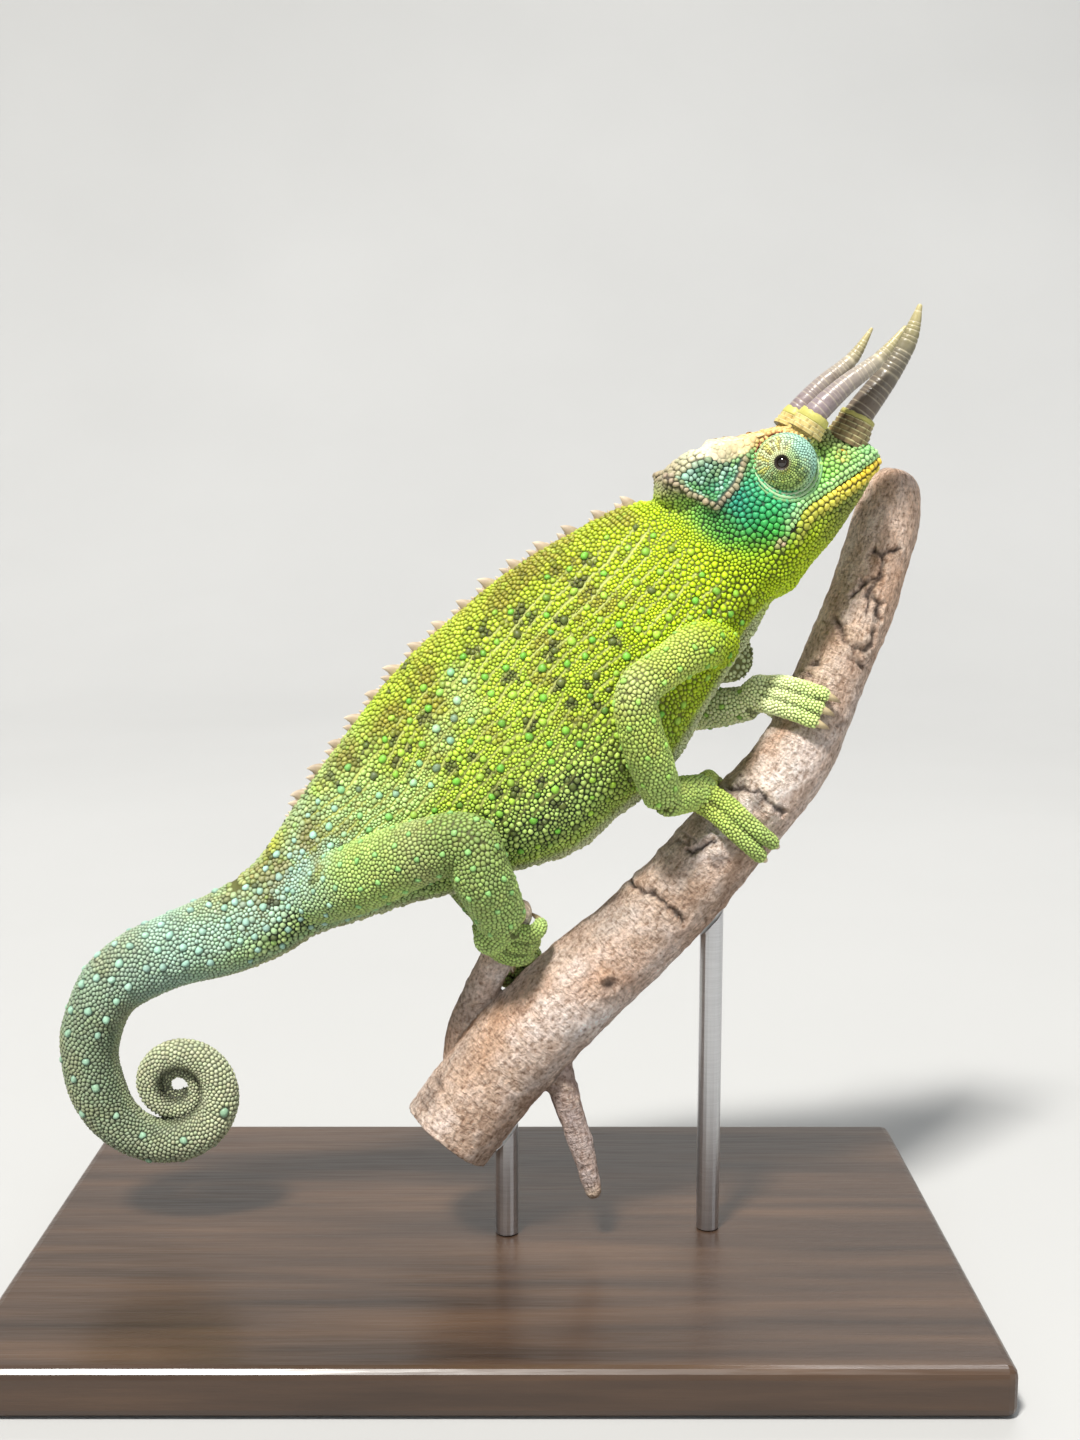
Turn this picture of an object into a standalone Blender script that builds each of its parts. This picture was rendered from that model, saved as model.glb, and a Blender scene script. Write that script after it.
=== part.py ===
"""A Jackson's chameleon that grips a cut length of branch on a display stand.

The animal looks along +X, its right flank faces -Y and +Z is up. Sizes are in millimetres and
become metres where a mesh is made. The origin is the middle of the base's underside.
"""

import math
import random

import bmesh
import bpy
from mathutils import Matrix, Vector
from mathutils.bvhtree import BVHTree

MM = 0.001
GAP = 0.3
SIDEWAYS = Vector((0, 1, 0))

# Display stand
BASE_SIZE = (160.0, 96.0, 8.0)
BASE_EDGE = 1.6
ROD_RADIUS = 2.0
ROD_PLACES = {"stand_rod_low": (2.5, -2.0), "stand_rod_high": (38.0, 0.0)}

# Rows of the body from neck to tail: back x, back z, belly x, belly z, half width
BODY_ROWS = [
    (26.7, 136.6, 49.8, 122.4, 9.2),
    (19.7, 134.1, 44.1, 114.0, 10.4),
    (13.3, 130.6, 39.1, 105.5, 11.6),
    (6.8, 126.9, 35.0, 98.0, 12.6),
    (0.1, 122.2, 29.5, 89.3, 13.0),
    (-6.0, 117.0, 22.7, 83.1, 13.0),
    (-12.5, 111.3, 14.5, 76.3, 12.4),
    (-18.3, 105.0, 4.9, 73.1, 11.4),
    (-23.7, 98.1, -4.6, 69.4, 10.0),
    (-28.4, 91.8, -13.3, 67.3, 8.8),
    (-32.8, 85.7, -22.0, 64.4, 7.6),
    (-37.2, 79.1, -29.8, 61.8, 6.8),
    (-41.6, 73.6, -35.4, 58.4, 6.2),
    (-48.6, 69.0, -43.8, 54.8, 5.6),
    (-57.2, 65.0, -53.4, 52.5, 5.1),
    (-65.0, 61.0, -60.9, 49.2, 4.8),
    (-71.1, 55.0, -63.6, 46.7, 4.6),
    (-74.7, 46.3, -65.3, 42.5, 4.4),
    (-75.3, 41.0, -65.8, 38.9, 4.3),
]
BODY_SIDES = 24
BACK_PINCH = 0.24
TAIL_PINCH = 0.06
NECK_FROM, NECK_TO, TORSO_TO = 0.45, 1.7, 12.0

# Tail coil: a logarithmic spiral about its centre, angles in degrees as the camera sees them
COIL_CENTRE = (-55.6, 33.6)
COIL_START, COIL_END, COIL_STEP = 180, 1060, 20
COIL_RADIUS_BELOW = 13.1
COIL_SHRINK = 0.135
COIL_TURN_GAP = 0.55
COIL_ENTRY_OUT, COIL_ENTRY_IN = 2.5, 2.2
COIL_FLATNESS = 0.42
COIL_DRIFT = 2.5
TAIL_SIDES = (14, 14, 12, 12, 10, 8)
TAIL_CUTS = [12.0, 15.0, 18.5, 26.0, 36.0, 47.0]

# Spines along the back
SPINE_SPACING = 5.4
SPINE_HEIGHTS = (2.4, 1.3)
SPINE_ROOT = 1.3
SPINE_WIDTH = 0.62
SPINE_LEAN = 32.0
SPINE_SEED = 11

# Head, in its own frame: u forward, w to the animal's left, v up from the mouth
HEAD_ORIGIN = (64.6, 1.5, 142.9)
HEAD_PITCH, HEAD_YAW, HEAD_ROLL = 40.0, 4.0, 5.0
HEAD_SIDES = 24
HEAD_REACH = 30.0
# Rows from snout to nape: crown u, crown v, throat u, throat v, half width
HEAD_ROWS = [
    (0.4, 2.6, 0.4, -0.4, 1.3),
    (-0.6, 5.6, -0.9, -1.0, 3.2),
    (-2.6, 8.6, -3.2, -1.8, 4.6),
    (-6.0, 12.2, -6.6, -3.2, 6.0),
    (-10.5, 15.6, -10.5, -4.4, 7.2),
    (-15.5, 17.4, -14.2, -5.4, 8.4),
    (-20.0, 18.9, -17.2, -5.9, 9.4),
    (-24.5, 20.4, -19.8, -6.3, 9.6),
    (-29.0, 20.6, -22.3, -6.9, 9.2),
    (-32.4, 18.8, -24.4, -7.6, 9.0),
]
CROWN_PINCH = 0.36
MOUTH_LINE = [
    (5.0, -0.4), (0.4, 0.1), (-5.5, 0.6), (-9.6, 1.4), (-13.7, 1.9),
    (-15.6, 2.2), (-17.3, 1.8), (-19.3, 1.0), (-21.5, 0.2),
]
JAW_BACK = [(-22.0, -4.0), (-21.5, -14.0), (5.0, -14.0)]
LIP_RADIUS = 0.85
UPPER_LIP_RISE, LOWER_LIP_DROP = 0.75, 0.95
NOSTRIL, NOSTRIL_RADIUS = (-4.7, 4.8), 0.65
EYE_CENTRE, EYE_OUT, EYE_RADIUS = (-13.2, 10.1), 5.9, 5.1
GAZE = (-0.25, 0.87, 0.44)
PUPIL_DEPTH, PUPIL_RADIUS = 4.2, 1.45
BROW_RIDGE = [(-5.0, 11.6), (-8.2, 14.0), (-12.5, 15.4), (-16.6, 14.6), (-18.8, 12.6)]
BROW_SIZES, BROW_LIFT = (1.3, 1.0), 0.2
CASQUE_CREST = [
    (-7.0, 13.4), (-11.0, 15.6), (-16.0, 17.0), (-20.5, 18.2), (-25.0, 19.6), (-30.4, 18.6),
]
CREST_SIZES, CREST_LIFT = (1.2, 1.8), 0.5
TEMPLE_RIM = [
    (-30.6, 17.2), (-28.6, 14.6), (-26.0, 11.9), (-23.8, 12.2), (-21.1, 12.9), (-18.6, 14.2),
]
TEMPLE_SIZES, TEMPLE_LIFT = (0.8, 0.8), 0.35
RIDGE_SIDES = 5
# Horns: rows of u, w, v and radius, from the top of the sheath to the tip
ROSTRAL_SHEATH = [(-4.5, 0, 4.8, 3.1), (2.2, 0, 7.8, 2.8)]
ROSTRAL_HORN = [
    (2.5, 0, 7.95, 2.5), (10.2, 0, 9.9, 2.0), (16.2, 0, 12.2, 1.5), (20.6, 0, 15.1, 0.5),
]
ORBITAL_SHEATH = [(-9.0, 4.4, 12.0, 2.7), (-4.2, 4.7, 13.6, 2.3)]
ORBITAL_HORN = [
    (-3.9, 4.7, 13.7, 2.0), (2.0, 4.6, 14.0, 1.7), (9.0, 4.4, 13.7, 1.2), (15.4, 4.3, 14.9, 0.35),
]
LEFT_HORN_LIFT = (-2.2, 1.7)
HORN_RINGS = 7
RING_SWELL = (0.97, 1.05)

# Branch: rows of x, y, z and radius
BRANCH = [
    (-8.0, -4.0, 26.6, 8.7), (1.8, -2.0, 38.9, 8.8), (13.1, -1.0, 50.9, 8.6),
    (23.0, 0.0, 59.8, 8.1), (31.7, 0.0, 68.4, 7.8), (38.4, 0.0, 76.3, 7.5),
    (45.7, 0.5, 84.6, 7.1), (52.6, 2.0, 93.5, 6.7), (58.6, 5.0, 106.7, 6.3),
    (64.1, 8.5, 118.8, 6.3), (68.3, 12.0, 130.8, 6.1), (69.5, 13.5, 136.3, 5.6),
]
TWIG = [
    (-5.0, 3.0, 31.0, 3.4), (-5.6, 4.0, 42.0, 3.1), (0.9, -2.0, 58.1, 3.0), (4.4, -4.2, 66.4, 2.7),
]
SNAG = [
    (9.5, -2.0, 47.0, 3.4), (12.4, -3.0, 34.4, 2.7), (15.3, -4.0, 25.9, 2.3), (17.6, -5.0, 17.2, 1.6),
]

# Legs: rows of x, y, z and radius from the body to the wrist or ankle, and the row of the bend
LEGS = {
    "foreleg_right": ([
        (37.5, -6.0, 112.6, 4.4), (34.0, -11.8, 112.8, 4.1), (29.2, -15.0, 110.2, 3.6),
        (23.8, -18.0, 106.2, 3.6), (24.2, -17.0, 100.2, 3.7), (26.4, -14.2, 93.6, 3.8),
        (28.6, -11.2, 87.6, 3.3),
    ], 3),
    "foreleg_left": ([
        (41.0, 4.0, 110.0, 5.0), (37.5, 10.5, 107.5, 4.2), (34.5, 14.0, 102.8, 3.5),
        (33.9, 14.8, 98.6, 3.4), (37.4, 11.5, 99.2, 3.5), (41.0, 7.4, 100.4, 3.4),
        (44.8, 4.4, 101.4, 3.0),
    ], 3),
    "hindleg_right": ([
        (-30.0, -2.0, 70.0, 6.4), (-22.0, -7.5, 73.6, 6.2), (-12.5, -12.2, 78.4, 5.6),
        (-3.6, -15.0, 81.2, 4.8), (-1.4, -14.4, 75.8, 5.1), (0.8, -12.0, 70.4, 4.7),
        (2.2, -10.2, 66.6, 4.2),
    ], 3),
    "hindleg_left": ([
        (-30.0, 2.0, 69.5, 6.2), (-22.5, 8.0, 71.6, 5.8), (-15.0, 12.4, 74.2, 5.2),
        (-8.4, 14.8, 74.4, 4.6), (-5.4, 15.2, 68.8, 4.6), (-1.4, 15.0, 63.2, 4.1),
        (3.0, 14.2, 58.0, 3.6),
    ], 3),
}
LEG_SIDES = 12

# Feet: the leg, the stick that is held, the place along it, the direction of the palm round it in
# degrees to the left of the camera's side, and each bundle's turn in degrees, toes and spacing
FEET = {
    "foot_fore_right": ("foreleg_right", "branch", 5.57, 62.0, (-92.0, 2, 2.6), (108.0, 3, 2.3)),
    "foot_fore_left": ("foreleg_left", "branch", 7.48, 91.0, (-80.0, 3, 2.1), (95.0, 2, 2.4)),
    "foot_hind_right": ("hindleg_right", "twig", 2.52, 26.0, (-120.0, 3, 2.5), (112.0, 2, 2.6)),
    "foot_hind_left": ("hindleg_left", "branch", 1.75, 168.0, (-50.0, 3, 2.3), (60.0, 2, 2.5)),
}
TOE_SIDES = 6
TOE_RADIUS = 1.9
TOE_TIP_RADIUS = 1.35
CLAW_RADIUS = 0.8
CLAW_LENGTH = 2.4
CLAW_CURL = 24.0
PALM_RADII = (3.3, 3.0)
PALM_HEIGHT = 3.4

COLOURS = {
    "skin_green": ((0.30, 0.52, 0.05), 0.62),
    "skin_head": ((0.10, 0.42, 0.26), 0.58),
    "skin_tail": ((0.30, 0.42, 0.24), 0.66),
    "eye_skin": ((0.42, 0.58, 0.30), 0.55),
    "eye_dark": ((0.012, 0.010, 0.008), 0.12),
    "horn": ((0.30, 0.23, 0.21), 0.45),
    "bark": ((0.32, 0.21, 0.15), 0.85),
    "stand_wood": ((0.07, 0.045, 0.03), 0.40),
    "stand_steel": ((0.60, 0.60, 0.61), 0.30),
}


def clear_scene():
    for obj in list(bpy.data.objects):
        bpy.data.objects.remove(obj)


def new_collection(name):
    collection = bpy.data.collections.new(name)
    bpy.context.scene.collection.children.link(collection)
    return collection


def material(name):
    found = bpy.data.materials.get(name)
    if found:
        return found
    made = bpy.data.materials.new(name)
    made.use_nodes = True
    shader = made.node_tree.nodes["Principled BSDF"]
    colour, roughness = COLOURS[name]
    shader.inputs["Base Color"].default_value = (*colour, 1)
    shader.inputs["Roughness"].default_value = roughness
    shader.inputs["Metallic"].default_value = 1.0 if name == "stand_steel" else 0.0
    return made


def new_object(name, mesh, collection, surface=None):
    """A named object from a bmesh in millimetres, with its faces turned outwards."""
    bmesh.ops.recalc_face_normals(mesh, faces=mesh.faces)
    bmesh.ops.scale(mesh, verts=mesh.verts, vec=(MM, MM, MM))
    data = bpy.data.meshes.new(name)
    mesh.to_mesh(data)
    mesh.free()
    obj = bpy.data.objects.new(name, data)
    collection.objects.link(obj)
    if surface:
        data.materials.append(material(surface))
    return obj


def spline(rows, place):
    """The row at a place between 0 and the last row's number, on a smooth curve through the rows."""
    last = len(rows) - 1
    start = min(int(place), last - 1)
    part = place - start
    near = [rows[max(0, min(last, start + step))] for step in (-1, 0, 1, 2)]
    return [
        0.5 * (2 * b + (c - a) * part + (2 * a - 5 * b + 4 * c - d) * part**2
               + (3 * b - a - 3 * c + d) * part**3)
        for a, b, c, d in zip(*near)
    ]


def spread(start, end, count):
    return [start + (end - start) * step / (count - 1) for step in range(count)]


def loft(rings):
    """A bmesh through rings of equal length, each end closed by a fan."""
    mesh = bmesh.new()
    loops = [[mesh.verts.new(point) for point in ring] for ring in rings]
    for low, high in zip(loops, loops[1:]):
        for side in range(len(low)):
            mesh.faces.new((low[side - 1], low[side], high[side], high[side - 1]))
    for loop in (loops[0], loops[-1]):
        middle = mesh.verts.new(sum((corner.co for corner in loop), Vector()) / len(loop))
        for side in range(len(loop)):
            mesh.faces.new((loop[side - 1], loop[side], middle))
    return mesh


def pinched_ring(top, bottom, half_width, pinch, sides, grow=0.0):
    """A ring between a top and a bottom point, narrower towards the top."""
    up = (top - bottom).normalized()
    middle = (top + bottom) / 2
    half_height = (top - bottom).length / 2 + grow
    ring = []
    for side in range(sides):
        turn = 2 * math.pi * side / sides
        out = (half_width * (1 - pinch * math.cos(turn)) + grow) * math.sin(turn)
        ring.append(middle + up * half_height * math.cos(turn) + SIDEWAYS * out)
    return ring


def tube(rows, sides, samples, flat_start=False, flat_end=False, grow=0.0, ringed=False):
    """A bmesh along rows of x, y, z and radius, with round ends unless they are flat.

    A ringed one swells and narrows by turns from sample to sample.
    """
    places = spread(0, len(rows) - 1, samples)
    points = [spline(rows, place) for place in places]
    centres = [Vector(point[:3]) for point in points]
    radii = [max(point[3], 0.15) for point in points]
    if ringed:
        radii = [size * RING_SWELL[step % 2] for step, size in enumerate(radii)]
    ahead = [(b - a).normalized() for a, b in zip(centres, centres[1:])]
    ahead = [ahead[0]] + [(a + b).normalized() for a, b in zip(ahead, ahead[1:])] + [ahead[-1]]
    across = ahead[0].orthogonal().normalized()
    if abs(ahead[0].dot(SIDEWAYS)) < 0.9:
        across = (SIDEWAYS - ahead[0] * ahead[0].dot(SIDEWAYS)).normalized()
    stations = []
    for centre, size, direction in zip(centres, radii, ahead):
        across = (across - direction * across.dot(direction)).normalized()
        stations.append((centre, size + grow, direction, across.copy()))
    dome = [(math.sin(angle), math.cos(angle)) for angle in (1.15, 0.65)]
    first, last = stations[0], stations[-1]
    if not flat_start:
        stations = [(first[0] - first[2] * first[1] * out, first[1] * size, first[2], first[3])
                    for out, size in dome] + stations
    if not flat_end:
        stations += [(last[0] + last[2] * last[1] * out, last[1] * size, last[2], last[3])
                     for out, size in reversed(dome)]
    loops = []
    for centre, size, direction, side_axis in stations:
        other = direction.cross(side_axis)
        loops.append([
            centre + (side_axis * math.cos(turn) + other * math.sin(turn)) * size
            for turn in (2 * math.pi * side / sides for side in range(sides))
        ])
    return loft(loops)


def ball(centre, radius, columns=20, rows=12):
    mesh = bmesh.new()
    place = Matrix.Translation(centre)
    bmesh.ops.create_uvsphere(
        mesh, u_segments=columns, v_segments=rows, radius=radius, matrix=place)
    return mesh


def cone(base, tip, radius, sides=5):
    """A spine or claw: a cone from its base point to its tip."""
    mesh = bmesh.new()
    ahead = tip - base
    turn = ahead.to_track_quat("Z", "Y").to_matrix().to_4x4()
    bmesh.ops.create_cone(mesh, cap_ends=True, segments=sides, radius1=radius, radius2=0.08,
                          depth=ahead.length, matrix=Matrix.Translation((base + tip) / 2) @ turn)
    return mesh


def keep_largest(obj):
    """Leaves only the closed surface that holds the most, which fills sealed hollows.

    Surfaces that touch along an edge of four faces count as two.
    """
    mesh = bmesh.new()
    mesh.from_mesh(obj.data)
    bmesh.ops.remove_doubles(mesh, verts=mesh.verts, dist=2e-7)
    bmesh.ops.dissolve_degenerate(mesh, dist=2e-7, edges=mesh.edges)
    bmesh.ops.triangulate(mesh, faces=mesh.faces)
    unseen = set(mesh.faces)
    pieces = []
    while unseen:
        piece = [unseen.pop()]
        for face in piece:
            for edge in face.edges:
                if len(edge.link_faces) != 2:
                    continue
                fresh = [other for other in edge.link_faces if other in unseen]
                unseen.difference_update(fresh)
                piece.extend(fresh)
        volume = sum(
            face.verts[0].co.dot(face.verts[1].co.cross(face.verts[2].co)) for face in piece)
        pieces.append((volume, piece))
    pieces.sort(key=lambda entry: entry[0])
    for volume, piece in pieces[:-1]:
        bmesh.ops.delete(mesh, geom=piece, context="FACES")
    mesh.to_mesh(obj.data)
    mesh.free()


def combine(target, meshes, operation):
    """Joins or cuts a target with bmeshes in one Boolean, applied, then keeps its largest surface."""
    group = new_collection("cutters")
    group.hide_render = True
    tools = [new_object(f"tool_{number}", mesh, group) for number, mesh in enumerate(meshes)]
    modifier = target.modifiers.new("combine", "BOOLEAN")
    modifier.operand_type = "COLLECTION"
    modifier.collection = group
    modifier.operation = operation
    modifier.solver = "EXACT"
    bpy.context.view_layer.update()
    evaluated = target.evaluated_get(bpy.context.evaluated_depsgraph_get())
    result = bpy.data.meshes.new_from_object(evaluated)
    target.modifiers.clear()
    target.data = result
    for tool in tools:
        bpy.data.objects.remove(tool)
    bpy.data.collections.remove(group)
    keep_largest(target)


def finish_mesh(obj, angle=40.0):
    obj.data.shade_smooth()
    obj.data.set_sharp_from_angle(angle=math.radians(angle))


# Body and tail

def coil_outer(angle):
    radius = COIL_RADIUS_BELOW * math.exp(-COIL_SHRINK * math.radians(angle - 270))
    return radius + COIL_ENTRY_OUT * (max(0, 270 - angle) / 90) ** 2


def coil_row(angle):
    """One body row of the coil; its outer edge is the back of the tail."""
    outer = coil_outer(angle)
    inner = coil_outer(angle + 360) + COIL_TURN_GAP
    inner += COIL_ENTRY_IN * max(0, 270 - angle) / 90
    across, along = math.cos(math.radians(angle)), math.sin(math.radians(angle))
    return (
        COIL_CENTRE[0] + outer * across, COIL_CENTRE[1] + outer * along,
        COIL_CENTRE[0] + inner * across, COIL_CENTRE[1] + inner * along,
        COIL_FLATNESS * (outer - inner),
    )


def body_rows():
    angles = range(COIL_START, COIL_END + 1, COIL_STEP)
    return BODY_ROWS + [coil_row(angle) for angle in angles]


def body_drift(place):
    """How far the tail has moved from the middle plane towards the far side."""
    coil_from = len(BODY_ROWS) - 3
    coil_to = len(BODY_ROWS) + (COIL_END - COIL_START) / COIL_STEP
    return COIL_DRIFT * max(0.0, (place - coil_from) / (coil_to - coil_from))


def body_edges(rows, place):
    back_x, back_z, belly_x, belly_z, half_width = spline(rows, place)
    drift = body_drift(place)
    return Vector((back_x, drift, back_z)), Vector((belly_x, drift, belly_z)), half_width


def body_ring(rows, place, sides, grow=0.0, pinch=BACK_PINCH, shift=0.0):
    """The body's outline at a place along its rows, moved along the body by a shift."""
    back, belly, half_width = body_edges(rows, place)
    ahead = (back - belly).normalized().cross(SIDEWAYS)
    ring = pinched_ring(back, belly, half_width, pinch, sides, grow)
    return [point + ahead * shift for point in ring]


def body_length(rows, start, end, sides, pinch, step=0.5, grow=0.0):
    """A length of the body, half the gap short of each neighbour."""
    count = max(2, round((end - start) / step) + 1)
    places = spread(start, end, count)
    rings = [body_ring(rows, place, sides, grow, pinch) for place in places]
    rings[0] = body_ring(rows, start, sides, grow, pinch, GAP / 2)
    rings[-1] = body_ring(rows, end, sides, grow, pinch, -GAP / 2)
    return rings


def back_spines(rows, start, end, draw):
    """Cones along the ridge of the back, tall and short by turns, that lean to the tail."""
    spines = []
    place = start
    number = 0
    while place < end:
        back, belly, _ = body_edges(rows, place)
        ahead_point = body_edges(rows, place + 0.1)[0]
        step = (ahead_point - back).length / 0.1
        to_tail = (ahead_point - back).normalized()
        out = (back - belly).normalized()
        out = (out - to_tail * out.dot(to_tail)).normalized()
        height = SPINE_HEIGHTS[number % 2] * draw.uniform(0.85, 1.15)
        lean = math.radians(SPINE_LEAN + draw.uniform(-6, 6))
        direction = out * math.cos(lean) + to_tail * math.sin(lean)
        direction += SIDEWAYS * draw.uniform(-0.08, 0.08)
        root = back - out * SPINE_ROOT
        spines.append(cone(root, back + direction * height, SPINE_WIDTH + height * 0.34))
        place += SPINE_SPACING / 2 / step
        number += 1
    return spines


def make_body(parts):
    rows = body_rows()
    draw = random.Random(SPINE_SEED)
    nape = head_rear_ring()
    shift = (nape[0] - nape[HEAD_SIDES // 2]).cross(SIDEWAYS).normalized() * GAP
    neck_rings = [[point + shift for point in nape]]
    neck_rings += body_length(rows, NECK_FROM, NECK_TO, BODY_SIDES, BACK_PINCH, 0.4)
    neck = new_object("neck", loft(neck_rings), parts, "skin_green")
    combine(neck, back_spines(rows, 0.55, NECK_TO - 0.3, draw), "UNION")
    torso_rings = body_length(rows, NECK_TO, TORSO_TO, BODY_SIDES, BACK_PINCH)
    torso = new_object("torso", loft(torso_rings), parts, "skin_green")
    combine(torso, back_spines(rows, NECK_TO + 0.25, 10.6, draw), "UNION")
    finish_mesh(neck)
    finish_mesh(torso)
    last = len(rows) - 1
    for number, (start, end) in enumerate(zip(TAIL_CUTS, TAIL_CUTS[1:] + [last]), 1):
        rings = body_length(rows, start, end, TAIL_SIDES[number - 1], TAIL_PINCH, 0.9)
        tail = new_object(f"tail_{number}", loft(rings), parts, "skin_tail")
        finish_mesh(tail)


def torso_cutter():
    """The body a gap larger all round, which keeps the legs clear of it."""
    rows = body_rows()
    places = spread(0.3, 15, 40)
    return loft([body_ring(rows, place, BODY_SIDES, GAP) for place in places])


# Head

def head_matrix():
    turn = Matrix.Rotation(math.radians(HEAD_YAW), 4, "Z")
    pitch = Matrix.Rotation(math.radians(-HEAD_PITCH), 4, "Y")
    roll = Matrix.Rotation(math.radians(HEAD_ROLL), 4, "X")
    return Matrix.Translation(HEAD_ORIGIN) @ turn @ pitch @ roll


def head_ring(place):
    crown_u, crown_v, throat_u, throat_v, half_width = spline(HEAD_ROWS, place)
    crown, throat = Vector((crown_u, 0, crown_v)), Vector((throat_u, 0, throat_v))
    return pinched_ring(crown, throat, half_width, CROWN_PINCH, HEAD_SIDES)


def head_rear_ring():
    return [head_matrix() @ point for point in head_ring(len(HEAD_ROWS) - 1)]


def head_form():
    places = spread(0, len(HEAD_ROWS) - 1, 16)
    return loft([head_ring(place) for place in places])


def head_surface():
    """A function that finds the point of the head's side at u and v, sunk or raised by a lift."""
    form = head_form()
    bmesh.ops.recalc_face_normals(form, faces=form.faces)
    tree = BVHTree.FromBMesh(form)
    form.free()

    def on_side(place, side, lift=0.0):
        start = Vector((place[0], 40 * side, place[1]))
        hit, normal, _, _ = tree.ray_cast(start, Vector((0, -side, 0)))
        if hit is None:
            hit, normal, _, _ = tree.find_nearest(Vector((place[0], 3 * side, place[1])))
        return hit + normal * lift

    return on_side


def ridge(on_side, line, side, sizes, lift=0.0, samples=8):
    """A raised tube on the head's side along a line, its radius from the first size to the last."""
    rows = []
    for place, size in zip(line, spread(sizes[0], sizes[1], len(line))):
        rows.append((*on_side(place, side, lift), size))
    return tube(rows, RIDGE_SIDES, samples)


def head_ridges(on_side, side, grow=0.0):
    """The brow, the crest and the rim of the temple on one side, larger all round by a growth."""
    lines = [
        (BROW_RIDGE, BROW_SIZES, BROW_LIFT),
        (CASQUE_CREST, CREST_SIZES, CREST_LIFT),
        (TEMPLE_RIM, TEMPLE_SIZES, TEMPLE_LIFT),
    ]
    return [
        in_head(ridge(on_side, line, side, [size + grow for size in sizes], lift))
        for line, sizes, lift in lines
    ]


def prism(outline, half_depth):
    """A flat outline in u and v, thick to both sides."""
    rings = [[Vector((u, depth, v)) for u, v in outline] for depth in (-half_depth, half_depth)]
    return loft(rings)


def mouth_outline(shift):
    """Everything below the line of the mouth, its edge moved by a shift."""
    upper = [(u - shift * 0.5, v + shift) for u, v in MOUTH_LINE]
    back = [(u - shift, v) for u, v in JAW_BACK[:2]]
    return upper + back + JAW_BACK[2:]


def in_head(mesh):
    bmesh.ops.transform(mesh, matrix=head_matrix(), verts=mesh.verts)
    return mesh


def lifted(rows):
    """The left horn's rows, raised and drawn back more and more towards its tip."""
    last = len(rows) - 1
    back, up = LEFT_HORN_LIFT
    return [
        (u + back * (step / last) ** 1.5, w, v + up * (step / last) ** 1.5, radius)
        for step, (u, w, v, radius) in enumerate(rows)
    ]


def sided(rows, side):
    return [(row[0], row[1] * side, *row[2:]) for row in rows]


def eye_centre(side):
    return Vector((EYE_CENTRE[0], EYE_OUT * side, EYE_CENTRE[1]))


def pupil_centre(side):
    direction = Vector((GAZE[0], GAZE[1] * side, GAZE[2])).normalized()
    return eye_centre(side) + direction * PUPIL_DEPTH


def below_mouth(shift):
    """A solid of everything below the line of the mouth, its edge moved by a shift."""
    return in_head(prism(mouth_outline(shift), HEAD_REACH))


def make_head(parts):
    on_side = head_surface()
    head = new_object("head", in_head(head_form()), parts, "skin_head")
    jaw = new_object("lower_jaw", in_head(head_form()), parts, "skin_head")
    raised = [in_head(tube(ROSTRAL_SHEATH, 12, 5, flat_end=True, ringed=True))]
    lower_lips = []
    lip_line = MOUTH_LINE[1:-1]
    for side in (-1, 1):
        raised.append(in_head(tube(sided(ORBITAL_SHEATH, side), 12, 4, flat_end=True)))
        raised.extend(head_ridges(on_side, side))
        upper = [(u, v + UPPER_LIP_RISE) for u, v in lip_line]
        lower = [(u, v - LOWER_LIP_DROP) for u, v in lip_line]
        raised.append(in_head(ridge(on_side, upper, side, (LIP_RADIUS, LIP_RADIUS))))
        lower_lips.append(in_head(ridge(on_side, lower, side, (LIP_RADIUS, LIP_RADIUS))))
    combine(head, raised, "UNION")
    combine(jaw, lower_lips, "UNION")
    hollows = [below_mouth(GAP / 2)]
    for side in (-1, 1):
        hollows.append(in_head(ball(eye_centre(side), EYE_RADIUS + GAP)))
        nostril = on_side(NOSTRIL, side)
        hollows.append(in_head(ball(nostril, NOSTRIL_RADIUS, 8, 5)))
    combine(head, hollows, "DIFFERENCE")
    combine(jaw, [below_mouth(-GAP / 2)], "INTERSECT")
    finish_mesh(head)
    finish_mesh(jaw)
    for side, name in ((-1, "right"), (1, "left")):
        turret_form = in_head(ball(eye_centre(side), EYE_RADIUS, 18, 10))
        turret = new_object(f"eye_turret_{name}", turret_form, parts, "eye_skin")
        combine(turret, [in_head(ball(pupil_centre(side), PUPIL_RADIUS, 10, 6))], "DIFFERENCE")
        finish_mesh(turret)
        eyeball_form = in_head(ball(pupil_centre(side), PUPIL_RADIUS - GAP, 10, 6))
        finish_mesh(new_object(f"eyeball_{name}", eyeball_form, parts, "eye_dark"))


def make_horns(parts):
    """The three horns, each cut clear of the ridges and the sheath at its root."""
    on_side = head_surface()
    horns = {
        "horn_rostral": (ROSTRAL_HORN, ROSTRAL_SHEATH, 1),
        "horn_orbital_right": (sided(ORBITAL_HORN, -1), sided(ORBITAL_SHEATH, -1), -1),
        "horn_orbital_left": (lifted(ORBITAL_HORN), sided(ORBITAL_SHEATH, 1), 1),
    }
    for name, (rows, sheath, side) in horns.items():
        form = in_head(tube(rows, 10, 2 * HORN_RINGS, flat_start=True, ringed=True))
        horn = new_object(name, form, parts, "horn")
        first, last = Vector(sheath[0][:3]), Vector(sheath[1][:3])
        longer = last + (last - first).normalized() * GAP
        sleeve = [sheath[0], (*longer, sheath[1][3])]
        cutters = [
            in_head(tube(sleeve, 12, 5, flat_end=True, grow=GAP)),
            *head_ridges(on_side, side, GAP),
        ]
        combine(horn, cutters, "DIFFERENCE")
        finish_mesh(horn)


# Branch

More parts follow.
